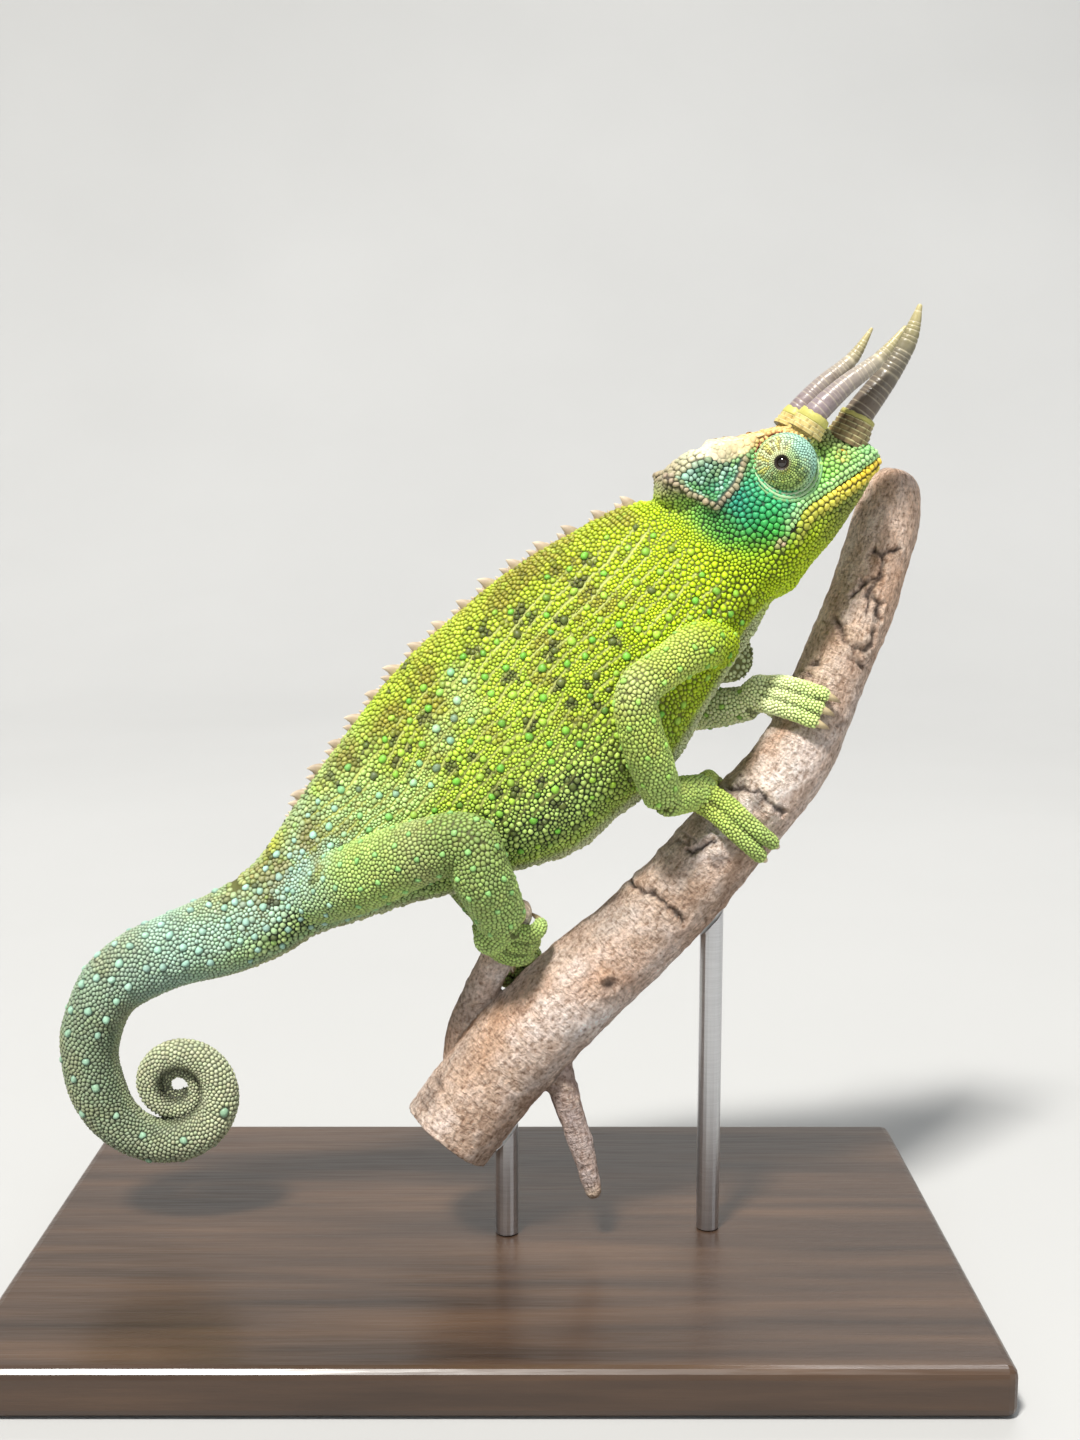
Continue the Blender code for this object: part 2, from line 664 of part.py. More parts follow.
def perch_meshes(grow=0.0):
    """The branch, its side twig and its snag, as closed tubes."""
    return [
        tube(BRANCH, 14, 22, flat_start=True, grow=grow),
        tube(TWIG, 8, 8, grow=grow),
        tube(SNAG, 8, 7, grow=grow),
    ]


def make_perch(parts):
    branch, twig, snag = perch_meshes()
    perch = new_object("perch", branch, parts, "bark")
    combine(perch, [twig, snag], "UNION")
    finish_mesh(perch)


# Legs and feet

def make_legs(parts):
    for name, (rows, bend) in LEGS.items():
        point = Vector(spline(rows, bend)[:3])
        after, before = spline(rows, bend + 0.05), spline(rows, bend - 0.05)
        ahead = (Vector(after[:3]) - Vector(before[:3])).normalized()
        upper_rows = [spline(rows, place) for place in spread(0, bend, 9)]
        lower_rows = [spline(rows, place) for place in spread(bend, len(rows) - 1, 9)]
        forms = {
            "upper": (tube(upper_rows, LEG_SIDES, 9, flat_start=True), ahead),
            "lower": (tube(lower_rows, LEG_SIDES, 9, flat_end=True), -ahead),
        }
        for part_name, (form, beyond) in forms.items():
            leg = new_object(f"{name}_{part_name}", form, parts, "skin_green")
            cutters = [half_space(point - beyond * GAP / 2, beyond), torso_cutter()]
            combine(leg, cutters + perch_meshes(GAP), "DIFFERENCE")
            finish_mesh(leg)


def half_space(point, direction, size=70):
    """A large cube on the side that a direction points to, the middle of one face on a point."""
    mesh = bmesh.new()
    turn = direction.to_track_quat("Z", "Y").to_matrix().to_4x4()
    middle = Matrix.Translation(point + direction * size / 2)
    bmesh.ops.create_cube(mesh, size=size, matrix=middle @ turn)
    return mesh


def stick_frame(stick, place):
    """Centre, direction and radius of a stick at a place along its rows."""
    rows = {"branch": BRANCH, "twig": TWIG}[stick]
    here, ahead = spline(rows, place), spline(rows, place + 0.05)
    direction = (Vector(ahead[:3]) - Vector(here[:3])).normalized()
    return Vector(here[:3]), direction, here[3]


def around(stick, place, turn, along, height):
    """A point round a stick: turn 0 is its side at the camera, and turns grow to the left."""
    centre, direction, radius = stick_frame(stick, place)
    near = (-SIDEWAYS + direction * direction.dot(SIDEWAYS)).normalized()
    other = near.cross(direction)
    angle = math.radians(turn)
    out = near * math.cos(angle) + other * math.sin(angle)
    return centre + direction * along + out * (radius + height)


def toe_rows(foot, turn, along):
    """Rows of one toe, from the wrist over the palm and round the stick."""
    leg, stick, place, palm, _, _ = FEET[foot]
    wrist = Vector(LEGS[leg][0][-1][:3])
    palm_point = around(stick, place, palm, along * 0.6, PALM_HEIGHT)
    rows = [(*wrist.lerp(palm_point, 0.25), 2.1), (*wrist.lerp(palm_point, 0.75), 2.2)]
    for part in (0.22, 0.5, 0.78, 1.0):
        size = TOE_RADIUS + (TOE_TIP_RADIUS - TOE_RADIUS) * part
        spot = around(stick, place, palm + turn * part, along * (0.8 + 0.35 * part), size + GAP)
        rows.append((*spot, size))
    return rows


def make_feet(parts):
    for foot, (leg, stick, place, palm, *bundles) in FEET.items():
        wrist_row = LEGS[leg][0][-1]
        wrist, radius = Vector(wrist_row[:3]), wrist_row[3]
        palm_point = around(stick, place, palm, 0, PALM_HEIGHT + 0.4)
        ahead = (palm_point - wrist).normalized()
        start = wrist + ahead * GAP / 2
        palm_rows = [
            (*start, radius), (*start.lerp(palm_point, 0.5), PALM_RADII[0]), (*palm_point, PALM_RADII[1]),
        ]
        form = tube(palm_rows, 10, 5, flat_start=True)
        obj = new_object(foot, form, parts, "skin_green")
        pieces = []
        for turn, toes, spacing in bundles:
            for toe in range(toes):
                along = (toe - (toes - 1) / 2) * spacing
                rows = toe_rows(foot, turn, along)
                pieces.append(tube(rows, TOE_SIDES, 8))
                tip, before = Vector(rows[-1][:3]), Vector(rows[-2][:3])
                curl = math.copysign(CLAW_CURL, turn)
                point = around(stick, place, palm + turn + curl, along * 1.15, 0.7)
                root = tip.lerp(before, 0.08)
                claw = root + (point - root).normalized() * (TOE_TIP_RADIUS + CLAW_LENGTH)
                pieces.append(cone(root, claw, CLAW_RADIUS))
        combine(obj, pieces, "UNION")
        combine(obj, perch_meshes(GAP) + [torso_cutter(), leg_end_cutter(leg)], "DIFFERENCE")
        finish_mesh(obj)


def leg_end_cutter(leg):
    """The lower leg a gap larger and longer, so that its foot stays clear of it."""
    rows, bend = LEGS[leg]
    samples = [spline(rows, place) for place in spread(bend, len(rows) - 1, 9)]
    end, before = Vector(samples[-1][:3]), Vector(samples[-2][:3])
    longer = end + (end - before).normalized() * GAP
    samples.append([*longer, samples[-1][3]])
    return tube(samples, LEG_SIDES, 10, flat_end=True, grow=GAP)


# Stand

def make_stand(parts):
    length, width, height = BASE_SIZE
    mesh = bmesh.new()
    bmesh.ops.create_cube(mesh, size=1, matrix=Matrix.Translation((0, 0, height / 2))
                          @ Matrix.Diagonal((length, width, height, 1)))
    base = new_object("stand_base", mesh, parts, "stand_wood")
    bevel = base.modifiers.new("edge", "BEVEL")
    bevel.width = BASE_EDGE * MM
    bevel.segments = 3
    for name, (x, y) in ROD_PLACES.items():
        top = stick_height(x) + 2
        mesh = tube([(x, y, height + GAP, ROD_RADIUS), (x, y, top, ROD_RADIUS)], 20, 2,
                    flat_start=True, flat_end=True)
        rod = new_object(name, mesh, parts, "stand_steel")
        combine(rod, [perch_meshes(GAP)[0]], "DIFFERENCE")
        finish_mesh(rod)


def stick_height(x):
    """The height of the branch's axis over a place x."""
    places = spread(0, len(BRANCH) - 1, 200)
    return min((spline(BRANCH, place) for place in places), key=lambda row: abs(row[0] - x))[2]


def main():
    clear_scene()
    parts = new_collection("jacksons_chameleon")
    make_stand(parts)
    make_perch(parts)
    make_body(parts)
    make_head(parts)
    make_horns(parts)
    make_legs(parts)
    make_feet(parts)


main()
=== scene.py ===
"""Looks of a Jackson's chameleon model: one skin under a coat of scales, on a branch and a stand."""

import math
import random

import bpy
import numpy as np
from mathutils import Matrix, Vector
from mathutils.bvhtree import BVHTree


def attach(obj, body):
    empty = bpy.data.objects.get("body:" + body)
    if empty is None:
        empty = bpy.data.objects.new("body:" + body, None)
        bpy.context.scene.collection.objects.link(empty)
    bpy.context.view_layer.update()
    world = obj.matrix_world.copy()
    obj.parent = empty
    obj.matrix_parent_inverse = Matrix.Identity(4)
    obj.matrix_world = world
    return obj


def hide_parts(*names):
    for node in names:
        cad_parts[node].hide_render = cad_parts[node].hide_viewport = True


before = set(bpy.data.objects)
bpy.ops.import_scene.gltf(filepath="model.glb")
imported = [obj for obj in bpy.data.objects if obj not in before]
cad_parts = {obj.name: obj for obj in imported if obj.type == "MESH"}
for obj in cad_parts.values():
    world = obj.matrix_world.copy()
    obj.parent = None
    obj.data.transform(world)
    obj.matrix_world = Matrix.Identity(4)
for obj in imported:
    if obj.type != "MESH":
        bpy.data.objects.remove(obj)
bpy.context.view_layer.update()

MM = 0.001
COAT = 0.32
VOXEL = 0.4
DRAW = np.random.default_rng(23)
BODY_SIDES, NAPE_RINGS = 140, 71
MOST_TRIANGLES = 185000
ON_BODY, ON_HEAD, ON_LIMB = 0, 1, 2
BODY, HEAD, FIRST_LIMB = 0, 1, 5
KNOB_TRIES = 9000
TRUNK_DENSITY, HEAD_DENSITY, FILLING_DENSITY = 18.0, 14.0, 5.0
PLAIN, KNOB, LIP, RIDGE = 0, 1, 3, 4

# Sizes of the solids in millimetres, as the part's source has them
BODY_ROWS = [
    (26.7, 136.6, 49.8, 122.4, 9.2), (19.7, 134.1, 44.1, 114.0, 10.4),
    (13.3, 130.6, 39.1, 105.5, 11.6), (6.8, 126.9, 35.0, 98.0, 12.6),
    (0.1, 122.2, 29.5, 89.3, 13.0), (-6.0, 117.0, 22.7, 83.1, 13.0),
    (-12.5, 111.3, 14.5, 76.3, 12.4), (-18.3, 105.0, 4.9, 73.1, 11.4),
    (-23.7, 98.1, -4.6, 69.4, 10.0), (-28.4, 91.8, -13.3, 67.3, 8.8),
    (-32.8, 85.7, -22.0, 64.4, 7.6), (-37.2, 79.1, -29.8, 61.8, 6.8),
    (-41.6, 73.6, -35.4, 58.4, 6.2), (-48.6, 69.0, -43.8, 54.8, 5.6),
    (-57.2, 65.0, -53.4, 52.5, 5.1), (-65.0, 61.0, -60.9, 49.2, 4.8),
    (-71.1, 55.0, -63.6, 46.7, 4.6), (-74.7, 46.3, -65.3, 42.5, 4.4),
    (-75.3, 41.0, -65.8, 38.9, 4.3),
]
BACK_PINCH, TAIL_PINCH = 0.24, 0.06
COIL_CENTRE = (-55.6, 33.6)
COIL_START, COIL_END, COIL_STEP = 180, 1060, 20
COIL_RADIUS_BELOW, COIL_SHRINK, COIL_TURN_GAP = 13.15, 0.135, 0.05
COIL_ENTRY_OUT, COIL_ENTRY_IN, COIL_FLATNESS, COIL_DRIFT = 2.5, 1.9, 0.42, 2.5
NECK_FROM = 0.45
VENT_ROW = 12.0
HEAD_ORIGIN = (64.6, 1.5, 142.9)
HEAD_PITCH, HEAD_YAW, HEAD_ROLL = 40.0, 4.0, 5.0
HEAD_ROWS = [
    (0.4, 2.6, 0.4, -0.4, 1.3), (-0.6, 5.6, -0.9, -1.0, 3.2), (-2.6, 8.6, -3.2, -1.8, 4.6),
    (-6.0, 12.2, -6.6, -3.2, 6.0), (-10.5, 15.6, -10.5, -4.4, 7.2),
    (-15.5, 17.4, -14.2, -5.4, 8.4), (-20.0, 18.9, -17.2, -5.9, 9.4),
    (-24.5, 20.4, -19.8, -6.3, 9.6), (-29.0, 20.6, -22.3, -6.9, 9.2),
    (-32.4, 18.8, -24.4, -7.6, 9.0),
]
CROWN_PINCH = 0.36
MOUTH_LINE = [
    (2.0, 0.5), (0.4, 0.6), (-5.5, 1.7), (-9.7, 2.5), (-13.1, 3.1), (-15.1, 3.5), (-16.8, 3.5),
    (-18.4, 3.0), (-19.8, 2.4), (-21.6, 1.9), (-23.0, 1.0),
]
NOSTRIL = (-5.2, 5.6)
EYE_CENTRE, EYE_OUT = (-13.5, 10.7), 5.9
GAZE = (-0.25, 0.9, 0.32)
TURRET_RADIUS, TURRET_REACH, TURRET_OPENING = 4.8, 4.86, 0.235
EYEBALL_RADIUS, EYEBALL_OUT = 1.32, 3.35
BROW_RIDGE = [(-6.0, 12.6), (-8.4, 15.0), (-12.3, 16.7), (-16.6, 16.7), (-20.5, 17.4)]
CASQUE_CREST = [
    (-7.0, 13.4), (-11.0, 15.6), (-16.0, 17.0), (-20.5, 18.2), (-25.0, 19.6), (-30.4, 18.6),
]
TEMPLE_RIM = [
    (-29.9, 21.5), (-29.1, 19.0), (-28.6, 17.3), (-27.7, 15.2), (-26.8, 13.0), (-25.1, 13.2),
    (-23.6, 13.4), (-21.3, 13.9), (-19.7, 14.7), (-18.1, 15.4),
]
ROSTRAL_SHEATH = [(-4.5, 0, 4.8, 3.1), (2.2, 0, 7.8, 2.8)]
ROSTRAL_HORN = [
    (0.5, 0, 7.3, 2.5), (2.5, 0, 7.95, 2.5), (10.2, 0, 9.9, 2.0), (16.2, 0, 12.2, 1.5),
    (20.6, 0, 15.1, 0.5),
]
ORBITAL_SHEATH = [(-9.0, 4.4, 12.0, 2.7), (-4.2, 4.7, 13.6, 2.3)]
ORBITAL_HORN = [
    (-5.5, 4.65, 13.3, 2.0), (-3.9, 4.7, 13.7, 2.0), (2.0, 4.6, 14.0, 1.7), (9.0, 4.4, 13.7, 1.2),
    (15.4, 4.3, 14.9, 0.35),
]
LEFT_HORN_LIFT = (-2.2, 1.7)
BRANCH = [
    (-8.0, -4.0, 26.6, 8.7), (1.8, -2.0, 38.9, 8.8), (13.1, -1.0, 50.9, 8.6),
    (23.0, 0.0, 59.8, 8.1), (31.7, 0.0, 68.4, 7.8), (38.4, 0.0, 76.3, 7.5),
    (45.7, 0.5, 84.6, 7.1), (52.6, 2.0, 93.5, 6.7), (58.6, 5.0, 106.7, 6.3),
    (64.1, 8.5, 118.8, 6.3), (68.3, 12.0, 130.8, 6.1), (69.5, 13.5, 136.3, 5.6),
]
TWIG = [
    (-5.0, 3.0, 31.0, 3.4), (-5.6, 4.0, 42.0, 3.1), (0.9, -2.0, 58.1, 3.0), (4.4, -4.2, 66.4, 2.7),
]
SNAG = [
    (9.5, -2.0, 47.0, 3.4), (12.4, -3.0, 34.4, 2.7), (15.3, -4.0, 25.9, 2.3), (17.6, -5.0, 17.2, 1.6),
]
LEGS = {
    "foreleg_right": [
        (37.5, -6.0, 112.6, 4.4), (34.0, -11.8, 112.8, 4.1), (29.2, -15.0, 110.2, 3.6),
        (23.8, -18.0, 106.2, 3.6), (24.2, -17.0, 100.2, 3.7), (26.4, -14.2, 93.6, 3.8),
        (28.6, -11.2, 87.6, 3.3),
    ],
    "foreleg_left": [
        (41.0, 4.0, 110.0, 5.0), (37.5, 10.5, 107.5, 4.2), (34.5, 14.0, 102.8, 3.5),
        (33.9, 14.8, 98.6, 3.4), (37.4, 11.5, 99.2, 3.5), (41.0, 7.4, 100.4, 3.4),
        (44.8, 4.4, 101.4, 3.0),
    ],
    "hindleg_right": [
        (-30.0, -2.0, 70.0, 6.4), (-22.0, -7.5, 73.6, 6.2), (-12.5, -12.2, 78.4, 5.6),
        (-3.6, -15.0, 81.2, 4.8), (-1.4, -14.4, 75.8, 5.1), (0.8, -12.0, 70.4, 4.7),
        (2.2, -10.2, 66.6, 4.2),
    ],
    "hindleg_left": [
        (-30.0, 2.0, 69.5, 6.2), (-22.5, 8.0, 71.6, 5.8), (-15.0, 12.4, 74.2, 5.2),
        (-8.4, 14.8, 74.4, 4.6), (-5.4, 15.2, 68.8, 4.6), (-1.4, 15.0, 63.2, 4.1),
        (3.0, 14.2, 58.0, 3.6),
    ],
}
FEET = {
    "foot_fore_right": ("foreleg_right", "branch", 5.57, 62.0, (-92.0, 2, 2.6), (108.0, 3, 2.3)),
    "foot_fore_left": ("foreleg_left", "branch", 7.48, 91.0, (-80.0, 3, 2.1), (95.0, 2, 2.4)),
    "foot_hind_right": ("hindleg_right", "twig", 2.52, 26.0, (-120.0, 3, 2.5), (112.0, 2, 2.6)),
    "foot_hind_left": ("hindleg_left", "branch", 1.75, 168.0, (-50.0, 3, 2.3), (60.0, 2, 2.5)),
}
GAP = 0.3
TOE_RADIUS, TOE_TIP_RADIUS = 1.9, 1.35
CLAW_LENGTH, CLAW_CURL, PALM_HEIGHT = 2.4, 24.0, 3.4
SPINE_SPACING, SPINE_HEIGHTS, SPINE_LEAN, SPINE_SEED = 5.4, (2.4, 1.3), 32.0, 11

# Marks on the bark: knots with their sizes, a ring scar's place along, and cracks at x and z
KNOTS = (((45.0, -7.0, 86.0), 2.6), ((20.0, -8.2, 55.0), 1.8), ((60.5, -2.0, 112.0), 2.0))
SCAR = 62.0
CRACKS = [
    [(69.1, 128.1), (66.8, 126.4), (66.3, 123.5), (64.1, 120.6), (64.2, 116.7)],
    [(66.3, 123.5), (63.4, 122.4), (62.0, 120.2)], [(66.8, 126.4), (65.2, 127.6)],
    [(64.1, 120.6), (66.0, 118.6), (65.8, 116.0)],
    [(58.6, 116.0), (60.0, 113.6), (60.7, 111.7), (63.2, 110.3), (64.8, 112.2), (65.2, 114.5)],
    [(40.4, 87.5), (44.2, 87.9), (46.8, 85.8), (48.8, 84.3)],
    [(22.6, 71.5), (23.6, 71.1), (27.5, 70.1), (30.0, 68.0), (32.7, 65.8)],
    [(33.2, 77.1), (35.2, 78.1), (37.7, 79.2)], [(10.5, 35.7), (14.3, 34.3)],
]

# Scales by level: corners, and the share of reach and height of each ring
PROFILES = {
    "fine": (7, ((1.0, -0.12), (0.82, 0.64))),
    "middle": (8, ((1.0, -0.12), (0.88, 0.52), (0.54, 0.88))),
    "large": (12, ((1.0, -0.12), (0.93, 0.42), (0.74, 0.76), (0.4, 0.95))),
}


# Colour and noise

def srgb(red, green, blue):
    value = np.array([red, green, blue]) / 255
    return np.where(value <= 0.04045, value / 12.92, ((value + 0.055) / 1.055) ** 2.4)


def mix(first, second, part):
    part = np.clip(np.asarray(part, float), 0, 1)[..., None]
    return first * (1 - part) + second * part


def painted(colour, *coats):
    """The colour after each tone has been mixed in by its share, one after another."""
    for tone, share in coats:
        colour = mix(colour, tone if isinstance(tone, np.ndarray) else srgb(*tone), share)
    return colour


def ramp(value, stops):
    places = [stop[0] for stop in stops]
    return np.stack([np.interp(value, places, [stop[1][k] for stop in stops]) for k in range(3)], -1)


def rise(value, low, high):
    part = np.clip((value - low) / (high - low), 0, 1)
    return part * part * (3 - 2 * part)


def hill(distance, width):
    return np.exp(-(distance / width) ** 2)


def noise(points, size, seed=0, octaves=2):
    """Smooth value noise from -1 to 1, its features about size across."""
    total, weight = np.zeros(len(points)), 0.0
    for octave in range(octaves):
        spot = points / size * 2.0 ** octave + 31.7 * seed + 11.3 * octave
        cell = np.floor(spot).astype(np.int64)
        part = spot - cell
        part = part * part * (3 - 2 * part)
        value = np.zeros(len(points))
        for corner in range(8):
            bits = np.array([corner & 1, corner >> 1 & 1, corner >> 2 & 1])
            key = (cell + bits) * np.array([73856093, 19349663, 83492791])
            mixed = (key[:, 0] ^ key[:, 1] ^ key[:, 2]) & 0xFFFFFFFF
            mixed = (mixed ^ (mixed >> 15)) * 2246822519 & 0xFFFFFFFF
            mixed = (mixed ^ (mixed >> 13)) & 0xFFFF
            share = np.prod(np.where(bits, part, 1 - part), axis=1)
            value += share * (mixed / 32767.5 - 1)
        total += value * 0.5 ** octave
        weight += 0.5 ** octave
    return total / weight


def to_line(places, line):
    """Distance from points to a polyline."""
    line = np.asarray(line, float)
    best = np.full(len(places), 1e9)
    for start, end in zip(line, line[1:]):
        edge = end - start
        part = np.clip((places - start) @ edge / np.linalg.norm(edge) ** 2, 0, 1)
        best = np.minimum(best, np.linalg.norm(places - start - part[:, None] * edge, axis=1))
    return best


def line_height(line, u):
    """The height of a line that runs back from the snout, at places u."""
    return np.interp(-u, [-spot[0] for spot in line], [spot[1] for spot in line])


# Curves and closed surfaces

def unit(vectors):
    return vectors / np.maximum(np.linalg.norm(vectors, axis=-1, keepdims=True), 1e-9)


def rows_at(rows, places):
    rows = np.asarray(rows, float)
    last = len(rows) - 1
    places = np.clip(np.atleast_1d(np.asarray(places, float)), 0, last)
    start = np.minimum(places.astype(int), last - 1)
    part = (places - start)[:, None]
    a, b, c, d = (rows[np.clip(start + step, 0, last)] for step in (-1, 0, 1, 2))
    return 0.5 * (2 * b + (c - a) * part + (2 * a - 5 * b + 4 * c - d) * part ** 2
                  + (3 * b - a - 3 * c + d) * part ** 3)


def oval_rings(top, bottom, half, pinch, sides, inset):
    """Rings between top and bottom points, narrower towards the top."""
    length = np.linalg.norm(top - bottom, axis=1)
    up = (top - bottom) / length[:, None]
    inset = np.minimum(inset, 0.35 * np.minimum(length / 2, half))
    turn = 2 * np.pi * np.arange(sides) / sides
    high = (length / 2 - inset)[:, None] * np.cos(turn)
    wide = (half[:, None] * (1 - pinch[:, None] * np.cos(turn)) - inset[:, None]) * np.sin(turn)
    middle = (top + bottom)[:, None] / 2
    return middle + up[:, None] * high[..., None] + np.array([0, 1, 0]) * wide[..., None]


def coil_outer(angle):
    radius = COIL_RADIUS_BELOW * np.exp(-COIL_SHRINK * np.radians(angle - 270))
    return radius + COIL_ENTRY_OUT * (np.maximum(0, 270 - angle) / 90) ** 2


def body_rows():
    angle = np.arange(COIL_START, COIL_END + 1, COIL_STEP).astype(float)
    outer = coil_outer(angle)
    inner = coil_outer(angle + 360) + COIL_TURN_GAP
    inner += COIL_ENTRY_IN * np.maximum(0, 270 - angle) / 90
    across, along = np.cos(np.radians(angle)), np.sin(np.radians(angle))
    coil = np.stack([
        COIL_CENTRE[0] + outer * across, COIL_CENTRE[1] + outer * along,
        COIL_CENTRE[0] + inner * across, COIL_CENTRE[1] + inner * along,
        COIL_FLATNESS * (outer - inner),
    ], 1)
    return np.concatenate([BODY_ROWS, coil])


ROWS = body_rows()
LAST_ROW = len(ROWS) - 1


def body_edges(places):
    row = rows_at(ROWS, places)
    coil_from = len(BODY_ROWS) - 3
    coil_to = len(BODY_ROWS) + (COIL_END - COIL_START) / COIL_STEP
    drift = COIL_DRIFT * np.maximum(0, (np.atleast_1d(places) - coil_from) / (coil_to - coil_from))
    top = np.stack([row[:, 0], drift, row[:, 1]], 1)
    bottom = np.stack([row[:, 2], drift, row[:, 3]], 1)
    return top, bottom, row[:, 4]


def body_rings(places, sides, inset):
    top, bottom, half = body_edges(places)
    pinch = BACK_PINCH + (TAIL_PINCH - BACK_PINCH) * rise(np.asarray(places), 10.5, 13.5)
    return oval_rings(top, bottom, half, pinch, sides, inset * (1 - rise(np.asarray(places), 13, 18)))


def turned(axis, degrees):
    c, s = math.cos(math.radians(degrees)), math.sin(math.radians(degrees))
    return np.array({
        "x": [[1, 0, 0], [0, c, -s], [0, s, c]],
        "y": [[c, 0, s], [0, 1, 0], [-s, 0, c]],
        "z": [[c, -s, 0], [s, c, 0], [0, 0, 1]],
    }[axis])


HEAD_TURN = turned("z", HEAD_YAW) @ turned("y", -HEAD_PITCH) @ turned("x", HEAD_ROLL)


def to_world(points):
    return np.asarray(points, float) @ HEAD_TURN.T + np.array(HEAD_ORIGIN)


def to_head(points):
    """Head coordinates: u forward, w to the left, v up."""
    return (np.asarray(points, float) - np.array(HEAD_ORIGIN)) @ HEAD_TURN


def head_rings(places, sides, inset):
    row = rows_at(HEAD_ROWS, places)
    zero = np.zeros(len(row))
    top = np.stack([row[:, 0], zero, row[:, 1]], 1)
    bottom = np.stack([row[:, 2], zero, row[:, 3]], 1)
    return oval_rings(top, bottom, row[:, 4], np.full(len(row), CROWN_PINCH), sides, inset)


def grid_normals(grid):
    along = np.gradient(grid, axis=0)
    around = np.roll(grid, -1, 1) - np.roll(grid, 1, 1)
    normal = unit(np.cross(around, along))
    outward = ((grid - grid.mean(1, keepdims=True)) * normal).sum(-1).mean()
    return normal if outward > 0 else -normal


def quads_of(rings, sides):
    low, side = np.meshgrid(np.arange(rings - 1), np.arange(sides), indexing="ij")
    a = low * sides + side
    b = low * sides + (side + 1) % sides
    return np.stack([a, b, b + sides, a + sides], -1).reshape(-1, 4)


def closed_grid(grid):
    """Points and triangles of a grid of rings, each end closed by a fan."""
    rings, sides = grid.shape[:2]
    quads = quads_of(rings, sides)
    triangles = np.concatenate([quads[:, [0, 1, 2]], quads[:, [0, 2, 3]]])
    points = np.concatenate([grid.reshape(-1, 3), grid[0].mean(0)[None], grid[-1].mean(0)[None]])
    side = np.arange(sides)
    after = (side + 1) % sides
    first = np.stack([np.full(sides, rings * sides), after, side], 1)
    end = (rings - 1) * sides
    last = np.stack([np.full(sides, rings * sides + 1), end + side, end + after], 1)
    triangles = np.concatenate([triangles, first, last])
    middle = points.mean(0)
    corners = points[triangles] - middle
    volume = (corners[:, 0] * np.cross(corners[:, 1], corners[:, 2])).sum()
    return points, triangles if volume > 0 else triangles[:, ::-1]


def tube(rows, samples, sides, inset=0.0, round_start=True, round_end=True):
    """A grid of rings along rows of x, y, z and radius, with round ends unless they are flat."""
    row = rows_at(rows, np.linspace(0, len(rows) - 1, samples))
    centre, radius = row[:, :3], np.maximum(row[:, 3] - inset, 0.12)
    ahead = unit(np.diff(centre, axis=0))
    ahead = unit(np.concatenate([ahead[:1], ahead[:-1] + ahead[1:], ahead[-1:]]))
    across = np.array([0.0, 1.0, 0.0]) - ahead[0] * ahead[0][1]
    if np.linalg.norm(across) < 0.4:
        across = np.cross(ahead[0], [1.0, 0.0, 0.0])
    frames = []
    for direction in ahead:
        across = across - direction * (across @ direction)
        across = across / np.linalg.norm(across)
        frames.append(across)
    across = np.array(frames)
    dome = np.radians([80, 65, 48, 30, 14])
    def cap(index, sign):
        out = centre[index] + sign * ahead[index] * radius[index] * np.sin(dome)[:, None]
        return out, radius[index] * np.cos(dome)
    parts = [(centre, radius, ahead, across)]
    if round_start:
        spots, sizes = cap(0, -1)
        parts.insert(0, (spots, sizes, np.repeat(ahead[:1], 5, 0), np.repeat(across[:1], 5, 0)))
    if round_end:
        spots, sizes = cap(-1, 1)
        parts.append((spots[::-1], sizes[::-1], np.repeat(ahead[-1:], 5, 0), np.repeat(across[-1:], 5, 0)))
    centre, radius, ahead, across = (np.concatenate(items) for items in zip(*parts))
    other = np.cross(ahead, across)
    turn = 2 * np.pi * np.arange(sides) / sides
    ring = across[:, None] * np.cos(turn)[:, None] + other[:, None] * np.sin(turn)[:, None]
    return centre[:, None] + ring * radius[:, None, None]


# Sculpted forms of the flesh

def head_relief(places):
    """How far the head's side is raised at places u and v."""
    u, v = places.T
    brow, crest, rim, mouth = (
        to_line(places, line) for line in (BROW_RIDGE, CASQUE_CREST, TEMPLE_RIM, MOUTH_LINE))
    above = v - line_height(MOUTH_LINE, u)
    in_mouth = rise(u, -20.5, -18.5)
    eye = np.hypot(u - EYE_CENTRE[0], v - EYE_CENTRE[1])
    raised = 1.1 * hill(brow, 1.2) + 1.3 * hill(crest, 1.6) * rise(v, 10, 14)
    raised += 1.1 * hill(rim, 0.7) + 0.7 * hill(np.hypot(u + 26.9, v - 13.3), 1.0)
    raised += (0.55 * hill(above - 1.0, 0.8) + 0.5 * hill(above + 1.1, 0.8)) * in_mouth
    raised -= 0.75 * hill(mouth, 0.28) * in_mouth
    nose = np.hypot(u - NOSTRIL[0], v - NOSTRIL[1])
    raised -= 0.9 * hill(nose, 0.5)
    raised += 0.3 * hill(nose - 0.95, 0.35)
    raised -= 0.5 * in_temple(places)
    raised -= 0.5 * hill(eye - 6.3, 0.35) - 0.2 * hill(eye - 5.7, 0.4)
    raised += 0.5 * hill(np.hypot((u + 20.5) / 3.4, (v - 7.0) / 3.0), 1.0)
    raised -= 0.6 * hill(to_line(places, [(-24.0, 1.2), (-26.5, 3.4), (-28.3, 6.2)]), 0.6)
    raised -= 0.35 * hill(to_line(places, [(-21.5, 0.2), (-24.0, -1.2), (-27.0, -0.6)]), 0.5)
    raised += 0.35 * hill(to_line(places, [(-2.0, 3.0), (-6.0, 4.2), (-9.0, 6.2)]), 0.9)
    return raised


